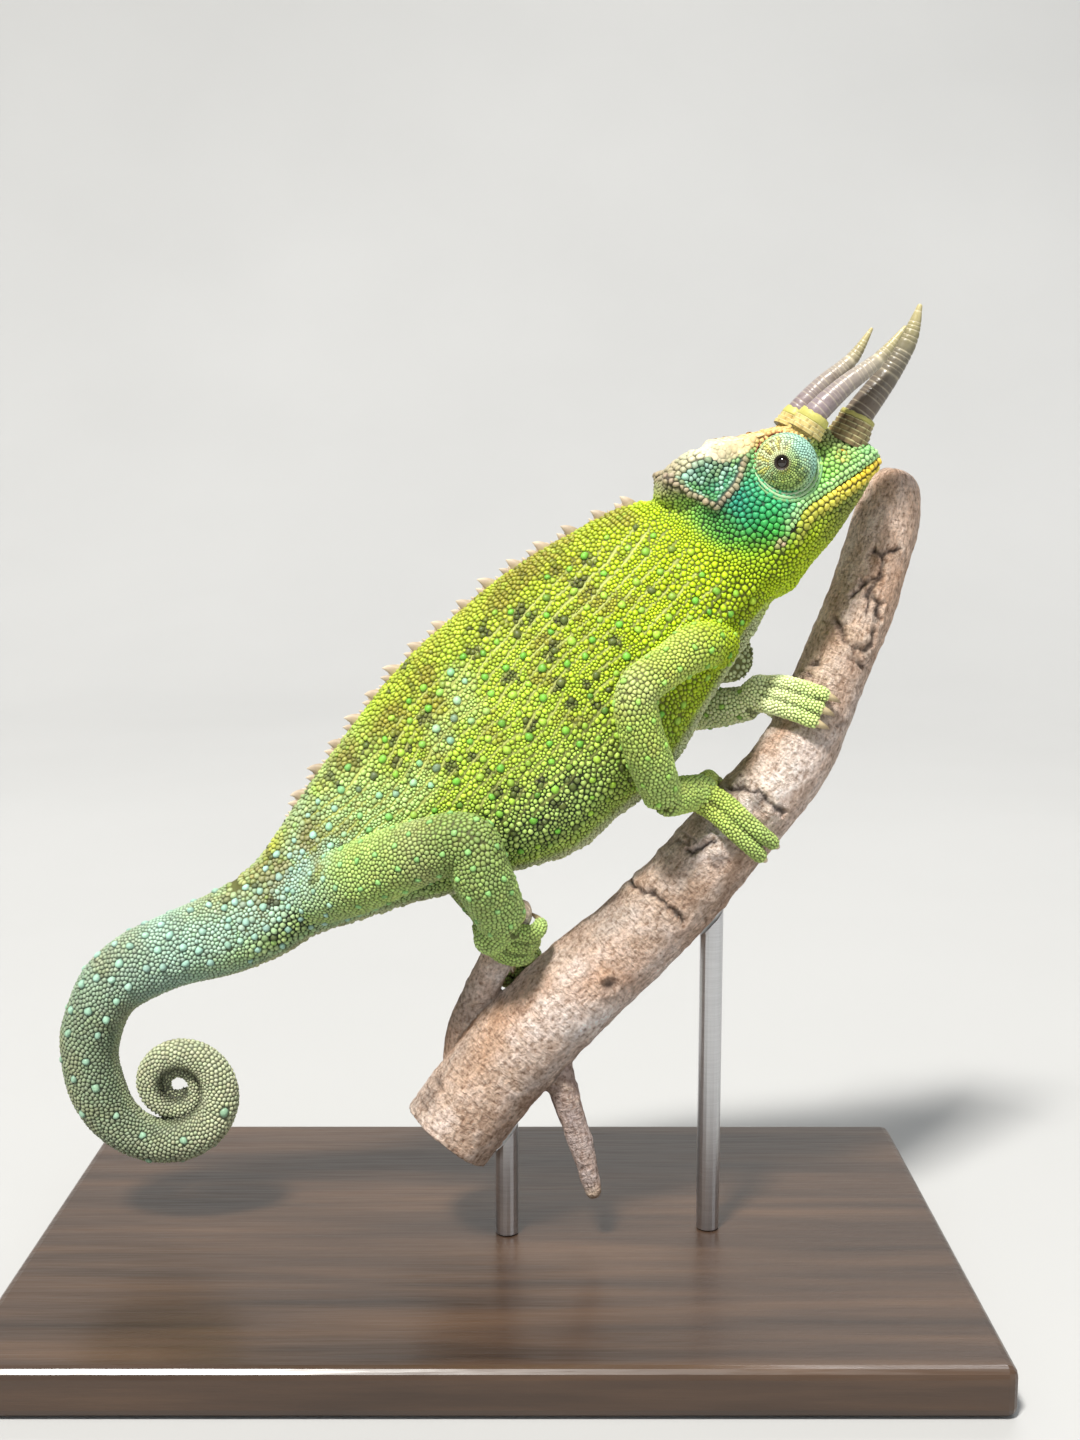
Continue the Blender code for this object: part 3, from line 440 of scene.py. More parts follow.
def in_temple(places):
    """How far places u and v lie in the sunk patch between the rim and the casque's band."""
    u, v = places.T
    low = line_height(TEMPLE_RIM[:3:-1], u)
    rear = np.interp(v, [p[1] for p in TEMPLE_RIM[4::-1]], [p[0] for p in TEMPLE_RIM[4::-1]])
    return rise(v - low, 0.2, 1.0) * rise(u - rear, 0.2, 1.0) * (1 - in_band(places)) * rise(-u, 17.5, 19.5)


def in_band(places):
    """How far places u and v lie in the smooth pale band along the top of the casque."""
    u, v = places.T
    edge = line_height(CREAM_BAND, u)
    return rise(v - edge, -0.35, 0.35) * rise(-u, 6.2, 7.5) * (1 - rise(-u, 29.5, 31.5))


def head_grid():
    grid = head_rings(np.linspace(0, 9, 130), 140, COAT)
    normal = grid_normals(grid)
    places = grid[..., [0, 2]].reshape(-1, 2)
    side = np.abs(normal[..., 1])
    lift = head_relief(places).reshape(grid.shape[:2])
    wide = rise(np.abs(grid[..., 1]), 0.8, 2.4)
    lift = lift * np.clip(side * 1.4 + 0.25, 0, 1) * wide
    u, v = grid[..., 0], grid[..., 2]
    spots = grid.reshape(-1, 3)
    melted = in_band(places) * (1 - rise(-u.ravel(), 22, 23.5))
    melted = melted * (0.22 * noise(spots, 1.5, 91) + 0.12 * noise(spots, 0.8, 92))
    lift += 1.15 * rise(-u, 15, 21) * rise(v, 15.5, 18.5) + melted.reshape(lift.shape)
    return to_world((grid + normal * lift[..., None]).reshape(-1, 3)).reshape(grid.shape)


def body_grid():
    sides = BODY_SIDES
    bridge = [to_world(ring) for ring in head_rings([7.4, 8.2, 9.0], sides, COAT)]
    bridge += list(body_rings([NECK_FROM, 0.9, 1.35, 1.8], sides, COAT))
    flat = rows_at([ring.ravel() for ring in bridge], np.linspace(0, 5, NAPE_RINGS))
    places = np.concatenate([np.linspace(1.4, 16, 170), np.linspace(16.1, LAST_ROW, 420)])
    grid = np.concatenate([flat.reshape(-1, sides, 3), body_rings(places, sides, COAT)])
    normal = grid_normals(grid)
    flank = np.concatenate([np.full(NAPE_RINGS, 1.0), 1 - rise(places, 9, 12.5)])[:, None]
    low = (1 - np.cos(2 * np.pi * np.arange(sides) / sides)) / 2
    x, z = grid[..., 0], grid[..., 2]
    slant = x * 0.77 - z * 0.64
    wave = noise(grid.reshape(-1, 3), 9.0, 3).reshape(x.shape)
    folds = np.abs(np.sin((slant + wave * 1.5) * np.pi / 3.4)) ** 0.5
    lift = -0.16 * (1 - folds) * flank * rise(low, 0.08, 0.2)
    belly = rise(low, 0.86, 0.95) * flank
    lift += 0.16 * belly * np.sin(slant * 2 * np.pi / 1.9 + wave)
    throat = hill((np.arange(len(grid))[:, None] - 62) / 22.0, 1.0) * rise(low, 0.35, 0.7)
    lift += 0.3 * throat * np.sin(slant * 2 * np.pi / 3.6 + wave * 2)
    shoulder = hill(np.sqrt((x - 33.5) ** 2 + (z - 113.5) ** 2) / 7.0, 1.0)
    hip = hill(np.sqrt((x + 24) ** 2 + (z - 74) ** 2) / 7.0, 1.0)
    lift += 0.5 * shoulder * (1 - rise(low, 0.75, 0.95)) + 0.3 * hip
    return grid + normal * lift[..., None]


def stick_frame(stick, place):
    rows = {"branch": BRANCH, "twig": TWIG}[stick]
    here, ahead = rows_at(rows, [place, place + 0.05])
    return here[:3], unit(ahead[:3] - here[:3]), here[3]


def around(stick, place, turn, along, height):
    """A point round a stick: turn 0 is its side at the camera, and turns grow to the left."""
    centre, direction, radius = stick_frame(stick, place)
    near = unit(np.array([0, -1, 0]) + direction * direction[1])
    angle = math.radians(turn)
    out = near * math.cos(angle) + np.cross(near, direction) * math.sin(angle)
    return centre + direction * along + out * (radius + height)


def toe_rows(foot, turn, along):
    leg, stick, place, palm, _, _ = FEET[foot]
    wrist = np.array(LEGS[leg][-1][:3])
    spot = around(stick, place, palm, along * 0.6, PALM_HEIGHT)
    rows = [(*(wrist + (spot - wrist) * 0.25), 2.1), (*(wrist + (spot - wrist) * 0.75), 2.2)]
    for part in (0.22, 0.5, 0.78, 1.0):
        size = TOE_RADIUS + (TOE_TIP_RADIUS - TOE_RADIUS) * part
        point = around(stick, place, palm + turn * part, along * (0.8 + 0.35 * part), size + GAP)
        rows.append((*point, size))
    return rows


def foot_forms(foot):
    """Grids of the palm and the toes, and the root and tip of each claw."""
    leg, stick, place, palm, *bundles = FEET[foot]
    wrist = np.array(LEGS[leg][-1])
    spot = around(stick, place, palm, 0, PALM_HEIGHT + 0.4)
    middle = wrist[:3] + (spot - wrist[:3]) * 0.5
    grids = [tube([wrist, (*middle, 3.3), (*spot, 3.0)], 16, 40, COAT, False)]
    claws = []
    for turn, toes, spacing in bundles:
        for toe in range(toes):
            along = (toe - (toes - 1) / 2) * spacing
            rows = toe_rows(foot, turn, along)
            grids.append(tube(rows, 40, 28, COAT * 0.7))
            tip, before = np.array(rows[-1][:3]), np.array(rows[-2][:3])
            curl = math.copysign(CLAW_CURL, turn)
            point = around(stick, place, palm + turn + curl, along * 1.15, 0.7)
            root = tip + (before - tip) * 0.08
            claws.append((root, root + unit(point - root) * (TOE_TIP_RADIUS + CLAW_LENGTH),
                          unit(tip - before)))
    return grids, claws


class Form:
    """A named closed loft of the flesh, and where points lie on it."""

    def __init__(self, name, grid):
        self.name, self.grid = name, grid
        rings, sides = grid.shape[:2]
        self.tree = BVHTree.FromPolygons(grid.reshape(-1, 3).tolist(), quads_of(rings, sides).tolist())
        centre = grid.mean(1)
        self.along = np.concatenate([[0], np.cumsum(np.linalg.norm(np.diff(centre, axis=0), axis=1))])
        self.girth = np.linalg.norm(np.roll(grid, -1, 1) - grid, axis=2).sum(1)
        self.low = grid.reshape(-1, 3).min(0) - 2
        self.high = grid.reshape(-1, 3).max(0) + 2

    def locate(self, points):
        """Distance, length along, turn round and the direction of length, at the nearest spots."""
        spots, faces, gaps = [], [], []
        for point in points.tolist():
            spot, _, face, gap = self.tree.find_nearest(point)
            spots.append(tuple(spot))
            faces.append(face)
            gaps.append(gap)
        sides = self.grid.shape[1]
        ring, side = np.divmod(np.array(faces), sides)
        corner = self.grid[ring, side]
        ahead = self.grid[ring + 1, side] - corner
        beside = self.grid[ring, (side + 1) % sides] - corner
        offset = np.array(spots) - corner
        part = np.clip((offset * ahead).sum(1) / np.maximum((ahead ** 2).sum(1), 1e-9), 0, 1)
        turn = np.clip((offset * beside).sum(1) / np.maximum((beside ** 2).sum(1), 1e-9), 0, 1)
        along = self.along[ring] + part * (self.along[ring + 1] - self.along[ring])
        return np.array(gaps), along, (side + turn) / sides, unit(ahead)


def sheath_rows():
    """The rows of the scaled cups at the roots of the horns."""
    rows = {"rostral": ROSTRAL_SHEATH}
    for side, name in ((-1, "orbital_right"), (1, "orbital_left")):
        rows[name] = [(u, w * side, v, radius) for u, w, v, radius in ORBITAL_SHEATH]
    return {name: [(*to_world(row[:3]), row[3]) for row in line] for name, line in rows.items()}


def make_forms():
    forms = [Form("body", body_grid()), Form("head", head_grid())]
    for name, rows in sheath_rows().items():
        forms.append(Form(f"sheath_{name}", tube(rows, 30, 48, COAT, True, False)))
    for name, rows in LEGS.items():
        forms.append(Form(name, tube(rows, 90, 60, COAT, False, False)))
    claws = []
    for foot in FEET:
        grids, found = foot_forms(foot)
        forms += [Form(f"{foot}_{number}", grid) for number, grid in enumerate(grids)]
        claws += found
    return forms, claws


# Meshes

def new_piece(name, points, faces, surface, colour=None, uv=None):
    """A piece of the scene from points in millimetres and faces with equal numbers of corners."""
    mesh = bpy.data.meshes.new(name)
    mesh.vertices.add(len(points))
    mesh.vertices.foreach_set("co", (points * MM).astype(np.float32).ravel())
    mesh.loops.add(faces.size)
    mesh.loops.foreach_set("vertex_index", faces.astype(np.int32).ravel())
    mesh.polygons.add(len(faces))
    mesh.polygons.foreach_set("loop_start", np.arange(0, faces.size, faces.shape[1], dtype=np.int32))
    mesh.update(calc_edges=True)
    if colour is not None:
        layer = mesh.color_attributes.new("Col", "FLOAT_COLOR", "POINT")
        full = np.concatenate([np.clip(colour, 0, 1), np.ones((len(colour), 1))], 1)
        layer.data.foreach_set("color", full.astype(np.float32).ravel())
    if uv is not None:
        layer = mesh.uv_layers.new(name="OFBake")
        layer.data.foreach_set("uv", uv[faces.ravel()].astype(np.float32).ravel())
    mesh.shade_smooth()
    mesh.materials.append(surface)
    obj = bpy.data.objects.new(name, mesh)
    bpy.context.scene.collection.objects.link(obj)
    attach(obj, "root")
    return obj


def joined(parts):
    """Points and faces of several meshes as one."""
    points, faces, first = [], [], 0
    for spots, corners in parts:
        points.append(spots)
        faces.append(corners + first)
        first += len(spots)
    return np.concatenate(points), np.concatenate(faces)


def joined_piece(name, parts, shades, surface):
    """One piece from several closed meshes and their colours."""
    points, faces = joined(parts)
    new_piece(name, points, faces, surface, np.concatenate(shades))


def bent_line(root, bend, tip, count):
    """Points of a curve from root to tip that leaves towards bend, and how far along each lies."""
    part = np.linspace(0, 1, count)[:, None]
    return root * (1 - part) ** 2 + 2 * bend * part * (1 - part) + tip * part ** 2, part[:, 0]


def circle(bearing, across, up):
    """Steps from a circle's middle at bearings between two directions."""
    return np.cos(bearing)[:, None] * across + np.sin(bearing)[:, None] * up


def remeshed(parts, voxel):
    """One even surface round overlapping closed parts."""
    points, faces = joined(parts)
    mesh = bpy.data.meshes.new("raw")
    mesh.from_pydata(points.tolist(), [], faces.tolist())
    obj = bpy.data.objects.new("raw", mesh)
    bpy.context.scene.collection.objects.link(obj)
    modifier = obj.modifiers.new("remesh", "REMESH")
    modifier.mode = "VOXEL"
    modifier.voxel_size = voxel
    result = obj.evaluated_get(bpy.context.evaluated_depsgraph_get()).to_mesh()
    spots = np.empty(len(result.vertices) * 3, np.float32)
    result.vertices.foreach_get("co", spots)
    corners = np.empty(len(result.loops), np.int32)
    result.loops.foreach_get("vertex_index", corners)
    obj.to_mesh_clear()
    bpy.data.objects.remove(obj)
    bpy.data.meshes.remove(mesh)
    return spots.reshape(-1, 3).astype(float), corners.reshape(-1, 4)


def smoothed(points, faces, times):
    edges = np.concatenate([faces[:, [k, (k + 1) % 4]] for k in range(4)])
    count = np.maximum(np.bincount(edges[:, 0], minlength=len(points)), 1)[:, None]
    for _ in range(times):
        mean = np.stack([
            np.bincount(edges[:, 0], points[edges[:, 1], k], minlength=len(points)) for k in range(3)], 1)
        points = points + (mean / count - points) * 0.5
    return points


def vertex_normals(points, faces):
    a, b, c, d = (points[faces[:, k]] for k in range(4))
    face = np.cross(c - a, d - b)
    total = np.stack([
        sum(np.bincount(faces[:, k], face[:, axis], minlength=len(points)) for k in range(4))
        for axis in range(3)], 1)
    return unit(total)


class Skin:
    """The one surface under the scales."""

    def __init__(self, forms):
        parts = [closed_grid(form.grid) for form in forms]
        points, faces = remeshed(parts, VOXEL)
        self.points, self.faces = smoothed(points, faces, 2), faces
        self.normals = vertex_normals(self.points, self.faces)
        self.tree = BVHTree.FromPolygons(self.points.tolist(), self.faces.tolist())

    def nearest(self, points):
        spots, faces = [], []
        for point in points.tolist():
            spot, _, face, _ = self.tree.find_nearest(point)
            spots.append(tuple(spot))
            faces.append(face)
        return np.array(spots), unit(self.normals[self.faces[np.array(faces)]].mean(1))


def pack_sheet(forms):
    """A rectangle of the unwrap for each form: left, bottom, width and height."""
    sizes = [(form.along[-1], form.girth.max()) for form in forms]
    for scale in np.linspace(0.0115, 0.002, 120):
        x, y, shelf, rectangles = 0.004, 0.004, 0.0, {}
        order = sorted(range(len(forms)), key=lambda number: -sizes[number][1])
        fits = True
        for number in order:
            length, girth = sizes[number]
            pieces = max(1, math.ceil(length * scale / 0.99))
            wide, high = length * scale / pieces, girth * scale * pieces
            if x + wide > 0.996:
                x, y, shelf = 0.004, y + shelf + 0.006, 0.0
            if y + high > 0.996 or wide > 0.992:
                fits = False
                break
            rectangles[number] = (x, y, wide, high, pieces)
            x, shelf = x + wide + 0.006, max(shelf, high)
        if fits:
            return rectangles
    return rectangles


class Places:
    """What is known about points on the skin: their form, and where they lie on it."""

    def __init__(self, points, forms):
        count = len(points)
        self.points = points
        self.form = np.zeros(count, int)
        self.along, self.turn = np.zeros(count), np.zeros(count)
        self.ahead = np.zeros((count, 3))
        best = np.full(count, 1e9)
        for number, form in enumerate(forms):
            inside = np.where(((points > form.low) & (points < form.high)).all(1) & (best > 0.02))[0]
            if not len(inside):
                continue
            gap, along, turn, ahead = form.locate(points[inside])
            nearer = gap < best[inside]
            chosen = inside[nearer]
            best[chosen] = gap[nearer]
            self.form[chosen] = number
            self.along[chosen], self.turn[chosen] = along[nearer], turn[nearer]
            self.ahead[chosen] = ahead[nearer]
        self.gap = best
        self.head = to_head(points)
        self.low = (1 - np.cos(2 * np.pi * self.turn)) / 2

    def take(self, chosen):
        other = object.__new__(Places)
        for key, value in self.__dict__.items():
            setattr(other, key, value[chosen])
        return other

    def uv(self, forms, rectangles):
        result = np.zeros((len(self.points), 2))
        for number, form in enumerate(forms):
            mine = self.form == number
            left, bottom, wide, high, pieces = rectangles[number]
            share = self.along[mine] / form.along[-1] * pieces
            piece = np.minimum(share.astype(int), pieces - 1)
            result[mine, 0] = left + (share - piece) * wide
            result[mine, 1] = bottom + (piece + self.turn[mine]) * high / pieces
        return result


# Markings, with painted shade and light: one set of colours for the skin and the scales on it

CHARTREUSE, LIME = srgb(188, 214, 24), srgb(184, 212, 62)
SAGE, RUMP, TAIL, COIL = srgb(178, 210, 146), srgb(166, 196, 174), srgb(134, 150, 120), srgb(184, 190, 154)
OLIVE, BELLY, LIMB = srgb(172, 178, 58), srgb(190, 198, 150), srgb(182, 206, 100)
DARK, EMERALD, TURQUOISE = srgb(66, 70, 42), srgb(116, 186, 62), srgb(160, 200, 180)
CREAM, ORANGE_CREAM, BEIGE = srgb(232, 214, 170), srgb(230, 190, 120), srgb(176, 160, 132)
TEAL, TOE = srgb(36, 138, 122), srgb(182, 206, 116)

HEAD_SPOTS = [
    (-24.0, 11.0, 1.6, TEAL), (-23.6, 8.6, 1.6, srgb(52, 160, 108)),
    (-27.5, 12.0, 1.6, srgb(60, 132, 70)), (-22.7, 6.0, 2.0, srgb(52, 170, 76)),
    (-22.5, 4.0, 1.6, srgb(74, 180, 62)), (-20.0, 5.0, 1.6, srgb(60, 178, 88)),
    (-19.5, 10.5, 2.0, srgb(70, 170, 120)), (-20.5, 8.0, 1.5, srgb(44, 160, 96)),
    (-17.8, 5.6, 1.5, srgb(84, 180, 140)), (-19.0, 3.8, 1.2, srgb(150, 190, 120)),
    (-14.5, 4.9, 1.5, srgb(144, 204, 122)), (-11.0, 4.6, 1.7, srgb(140, 214, 104)),
    (-17.5, 14.0, 1.2, srgb(122, 180, 110)), (-28.2, 9.2, 1.9, srgb(84, 166, 66)),
    (-29.6, 12.5, 1.5, srgb(112, 178, 80)), (-30.6, 16.5, 1.4, srgb(136, 180, 84)),
    (-34.0, 16.5, 2.0, CHARTREUSE), (-33.5, 12.0, 1.8, CHARTREUSE), (-33.4, 8.0, 1.8, CHARTREUSE),
    (-31.2, 4.2, 1.8, CHARTREUSE), (-28.4, 1.0, 1.8, CHARTREUSE), (-8.0, 5.8, 2.2, srgb(166, 220, 108)),
    (-5.0, 4.0, 1.6, srgb(166, 222, 132)), (-8.5, 8.6, 1.6, srgb(152, 198, 88)),
    (-3.0, 6.4, 1.5, srgb(146, 156, 100)), (-6.0, 9.8, 1.6, srgb(162, 160, 106)),
    (-0.8, 3.6, 1.3, srgb(146, 208, 130)), (-9.5, -2.5, 2.6, srgb(140, 150, 62)),
    (-15.0, -3.5, 2.4, srgb(158, 176, 44)), (-20.0, -3.0, 2.4, srgb(180, 204, 20)),
    (-25.0, -1.0, 2.4, CHARTREUSE), (-27.0, 1.5, 1.6, srgb(150, 190, 30)),
    (-26.5, 4.6, 1.3, srgb(96, 168, 50)), (-13.2, 18.0, 1.6, ORANGE_CREAM),
    (-7.0, 13.4, 1.8, ORANGE_CREAM), (-20.0, 19.5, 1.8, CREAM), (-25.5, 20.5, 1.6, srgb(170, 186, 150)),
    (-30.5, 19.5, 1.4, srgb(150, 148, 112)),
]
PALE_BAND = [
    (-4.6, 105.8), (-3.7, 102.3), (-7.7, 97.9), (-10.8, 90.4), (-15.7, 87.2), (-19.2, 85.9),
    (-26.5, 84.0),
]
BLOTCHES = [
    (5.0, 118.0), (7.2, 116.7), (-1.0, 114.5), (-2.4, 111.5), (10.2, 112.8), (3.7, 107.5), (6.7, 100.1),
    (-8.1, 97.4), (-2.9, 94.3), (-6.0, 93.0), (-0.3, 92.1), (1.5, 89.0), (13.7, 103.2), (11.1, 106.7),
    (15.9, 106.7), (17.6, 103.2), (20.2, 114.1), (-16.0, 96.6), (-13.4, 95.7), (-10.7, 100.5),
    (16.2, 126.2), (22.2, 127.0), (14.5, 123.1), (13.7, 91.2),
]
CREAM_BAND = [
    (-7.6, 11.2), (-8.3, 12.2), (-9.3, 13.8), (-10.2, 14.8), (-12.0, 15.9), (-14.0, 16.3), (-15.7, 16.0),
    (-17.1, 15.9), (-18.8, 16.6), (-20.3, 16.8), (-21.4, 17.6), (-21.8, 19.0), (-24.5, 19.7),
    (-27.0, 20.2), (-29.0, 20.2), (-31.5, 19.6),
]


def near_spots(x, z, spots, width):
    total = np.zeros(len(x))
    for spot_x, spot_z in spots:
        total = np.maximum(total, hill(np.hypot(x - spot_x, z - spot_z), width))
    return total


def creases(points, part, low):
    """Fine slanting folds across the flank: 1 on a fold."""
    x, z = points[:, 0], points[:, 2]
    wave = noise(points, 9.0, 3)
    slant = (0.67 * z - 0.74 * x + 1.6 * wave) / 1.9
    away = np.abs(slant - np.round(slant)) * 1.9
    shown = (rise(part, 0.06, 0.14) * (1 - rise(part, 0.8, 0.95))
             * rise(low, 0.08, 0.16) * (1 - rise(low, 0.7, 0.84)))
    shown *= rise(noise(points, 7.0, 27), -0.6, -0.3)
    return hill(away, 0.19) * shown


def coil_groove_shade(x, z):
    """1 where two turns of the coil touch, where the groove's painted shade goes."""
    x, z = x - COIL_CENTRE[0], z - COIL_CENTRE[1]
    bearing = np.degrees(np.arctan2(z, x)) % 360
    groove = np.zeros(len(x))
    for turns in (1, 2):
        angle = bearing + 360 * turns
        away = np.abs(np.hypot(x, z) - coil_outer(angle))
        groove = np.maximum(groove, hill(away, 0.55) * rise(angle, 570, 600) * (1 - rise(angle, 1040, 1070)))
    return groove


def body_colours(places, forms):
    """Scale colour, skin colour and tubercle colour of the trunk and the tail."""
    points, low, along = places.points, places.low, places.along
    x, z = points[:, 0], points[:, 2]
    part = along / forms[0].vent
    patch = noise(points, 5.0, 5)
    trunk = 1 - rise(part, 0.95, 1.2)
    brown = rise(noise(points, 6.5, 8) + 0.4 * noise(points, 1.5, 7) - low * 0.9, -0.08, 0.38)
    pale = near_spots(x, z, PALE_BAND, 4.0) * trunk
    pale = rise(pale + 0.3 * noise(points, 2.0, 11), 0.25, 0.9)
    rear = rise(noise(points, 5.0, 12), -0.1, 0.5) * rise(part, 1.1, 1.3)
    dark = rise(near_spots(x, z, BLOTCHES, 1.6) + 0.55 * noise(points, 1.3, 20), 0.5, 0.75)
    dark = dark * (1 - rise(part, 1.0, 1.1))
    dark = np.maximum(dark, rise(noise(points, 2.0, 21) + 0.5 * noise(points, 7.0, 22), 0.45, 0.67) * trunk)
    rump_dark = rise(noise(points, 2.6, 24) + 0.35 * noise(points, 8.0, 25), 0.5, 0.75)
    rump_dark = rump_dark * rise(part, 0.75, 0.9) * (1 - rise(part, 1.3, 1.5))
    dark = np.maximum(dark, rump_dark * (1 - rise(low, 0.3, 0.6)))
    dark *= rise(part, 0.12, 0.25) * (1 - 0.5 * pale) * (1 - rise(low, 0.85, 0.93))
    colour = painted(
        ramp(part + 0.05 * patch, [
            (0.0, CHARTREUSE), (0.22, CHARTREUSE), (0.45, LIME), (0.64, LIME), (0.78, SAGE), (0.9, RUMP),
            (1.16, RUMP), (1.36, TAIL), (1.5, TAIL), (1.75, COIL)]),
        (OLIVE, trunk * (1 - rise(low, 0.02, 0.36)) * (0.55 + 0.5 * patch)),
        ((138, 118, 52), trunk * brown * 0.65),
        ((190, 218, 126), trunk * hill(low - 0.8, 0.16) * 0.85 * rise(part, 0.25, 0.5)),
        ((150, 200, 60), rise(noise(points, 1.1, 10), 0.2, 0.7) * 0.4 * trunk),
        (BELLY, rise(low, 0.93, 0.98) * (0.75 * trunk + 0.4)),
        ((184, 212, 140), pale * 0.5), ((150, 150, 112), rear * 0.5), (DARK, dark * 0.82))
    colour = colour * (1 + 0.16 * noise(points, 1.6, 9) + 0.13 * patch)[:, None]
    # Painted shade: the lower flank and the underside of the tail are darkened.
    below = trunk * rise(low, 0.64, 0.9) * (1 - rise(low, 0.95, 0.985))
    below += 0.6 * rise(part, 1.02, 1.2) * rise(low, 0.5, 0.85)
    colour = colour * (1 - 0.22 * below)[:, None]
    phase = along / 2.6 + 0.5 * noise(points, 5.0, 28)
    stripe = hill(np.abs(phase - np.round(phase)), 0.13)
    stripe *= (trunk * (1 - rise(low, 0.16, 0.3)) * rise(part, 0.12, 0.25)
               * rise(noise(points, 3.0, 29), -0.3, 0.2))
    colour = colour * (1 - 0.45 * stripe)[:, None]
    # Painted shade in the groove where two turns of the coil touch.
    colour = colour * (1 - 0.72 * coil_groove_shade(x, z))[:, None]
    # Painted shade in the gaps: the skin between the scales is kept far darker than the scales, and near
    # black on the lower flank as painted shade under the body; the olive tone, the dark blotches and the pale
    # creases are its own colours.
    lower = trunk * rise(low, 0.5, 0.72) * (1 - rise(low, 0.9, 0.96)) * rise(part, 0.3, 0.5)
    skin = painted(
        colour * 0.26, ((24, 38, 18), lower * 0.9), ((104, 104, 30), trunk * (1 - lower) * 0.55),
        ((36, 36, 28), dark * 0.85), ((206, 214, 118), creases(points, part, low) * 0.9))
    knob = painted(
        np.broadcast_to(EMERALD, colour.shape),
        ((168, 208, 72), rise(noise(points, 1.7, 30), -0.1, 0.2)),
        ((92, 104, 48), np.maximum(rise(noise(points, 1.9, 31), 0.25, 0.4), dark) * trunk),
        (TURQUOISE, np.maximum(pale * 0.7, rise(part, 0.7, 0.88))),
        ((146, 182, 152), rise(part, 1.2, 1.5)))
    return colour, skin, knob


def head_colours(places):
    points, head = places.points, places.head
    flat = head[:, [0, 2]]
    u, v = flat.T
    weight, total = np.zeros(len(u)), np.zeros((len(u), 3))
    for spot_u, spot_v, size, colour in HEAD_SPOTS:
        share = np.exp(-((u - spot_u) ** 2 + (v - spot_v) ** 2) / (2 * size ** 2)) + 1e-6
        weight += share
        total += share[:, None] * colour
    colour = total / weight[:, None]
    above = v - line_height(MOUTH_LINE, u)
    lips = rise(u, -21.5, -19.5)
    upper = hill(above - 0.8, 0.8) * lips * (above > 0)
    lower = rise(above, -2.9, -2.1) * lips * (above <= 0)
    gold = ramp(-u, [(0, srgb(230, 196, 76)), (5, srgb(226, 200, 56)), (11, srgb(214, 202, 84)),
                     (17, srgb(178, 184, 64)), (20, srgb(150, 170, 64))])
    gold = mix(gold, srgb(214, 210, 84), rise(-above, 1.0, 1.5) * 0.4)
    band = in_band(flat)
    pale = ramp(-u, [(6, srgb(222, 196, 112)), (12, ORANGE_CREAM), (17, srgb(236, 212, 164)),
                     (22, srgb(238, 228, 192)), (24, srgb(206, 206, 172)), (27, srgb(186, 178, 144)),
                     (30, srgb(150, 138, 108))])
    rim = hill(to_line(flat, TEMPLE_RIM), 0.65)
    nose = np.hypot(u - NOSTRIL[0], v - NOSTRIL[1])
    scab = hill(np.hypot((u + 22.6) / 1.3, v - 1.9), 0.75) * (points[:, 1] < 0)
    colour = painted(colour, ((184, 228, 152), upper * 0.85), (gold, lower), (pale, band), (BEIGE, rim * 0.9),
                     ((196, 178, 80), hill(nose - 0.9, 0.3) * 0.7), ((206, 168, 148), scab))
    colour = colour * (1 + 0.14 * noise(points, 1.4, 4))[:, None]
    temple = in_temple(flat)
    tone = mix(srgb(60, 136, 104), srgb(92, 160, 96), rise(noise(points, 2.0, 33), -0.2, 0.4))
    colour = mix(colour, tone, temple * 0.75)
    behind = hill(np.hypot((u + 28.5) / 2.6, (v - 9.5) / 4.6), 1.0)
    # Painted shade in the gaps: the skin between the scales is kept far darker than the scales, except along
    # the smooth band.
    skin = painted(
        colour * 0.2, (colour * 0.92, band * (1 - rise(-u, 22, 23.5))), ((16, 50, 44), temple * 0.8),
        ((12, 34, 16), behind * 0.8), ((40, 34, 20), hill(above, 0.35) * rise(u, -23.5, -22)))
    knob = mix(colour, srgb(164, 202, 182), temple * 0.75)
    return colour, skin, knob


def toe_furrows(points, names, forms):
    """1 in the furrow between two toes of one foot, where painted shade goes."""
    furrow = np.zeros(len(points))
    for foot in FEET:
        mine = np.where([name.startswith(foot) and name != f"{foot}_0" for name in names])[0]
        toes = [form.grid.mean(1) for form in forms
                if form.name.startswith(foot) and form.name != f"{foot}_0"]
        if len(mine):
            away = np.sort([to_line(points[mine], toe) for toe in toes], axis=0)
            furrow[mine] = hill(away[1] - away[0], 0.45) * (1 - rise(away[0], 2.0, 2.5))
    return furrow


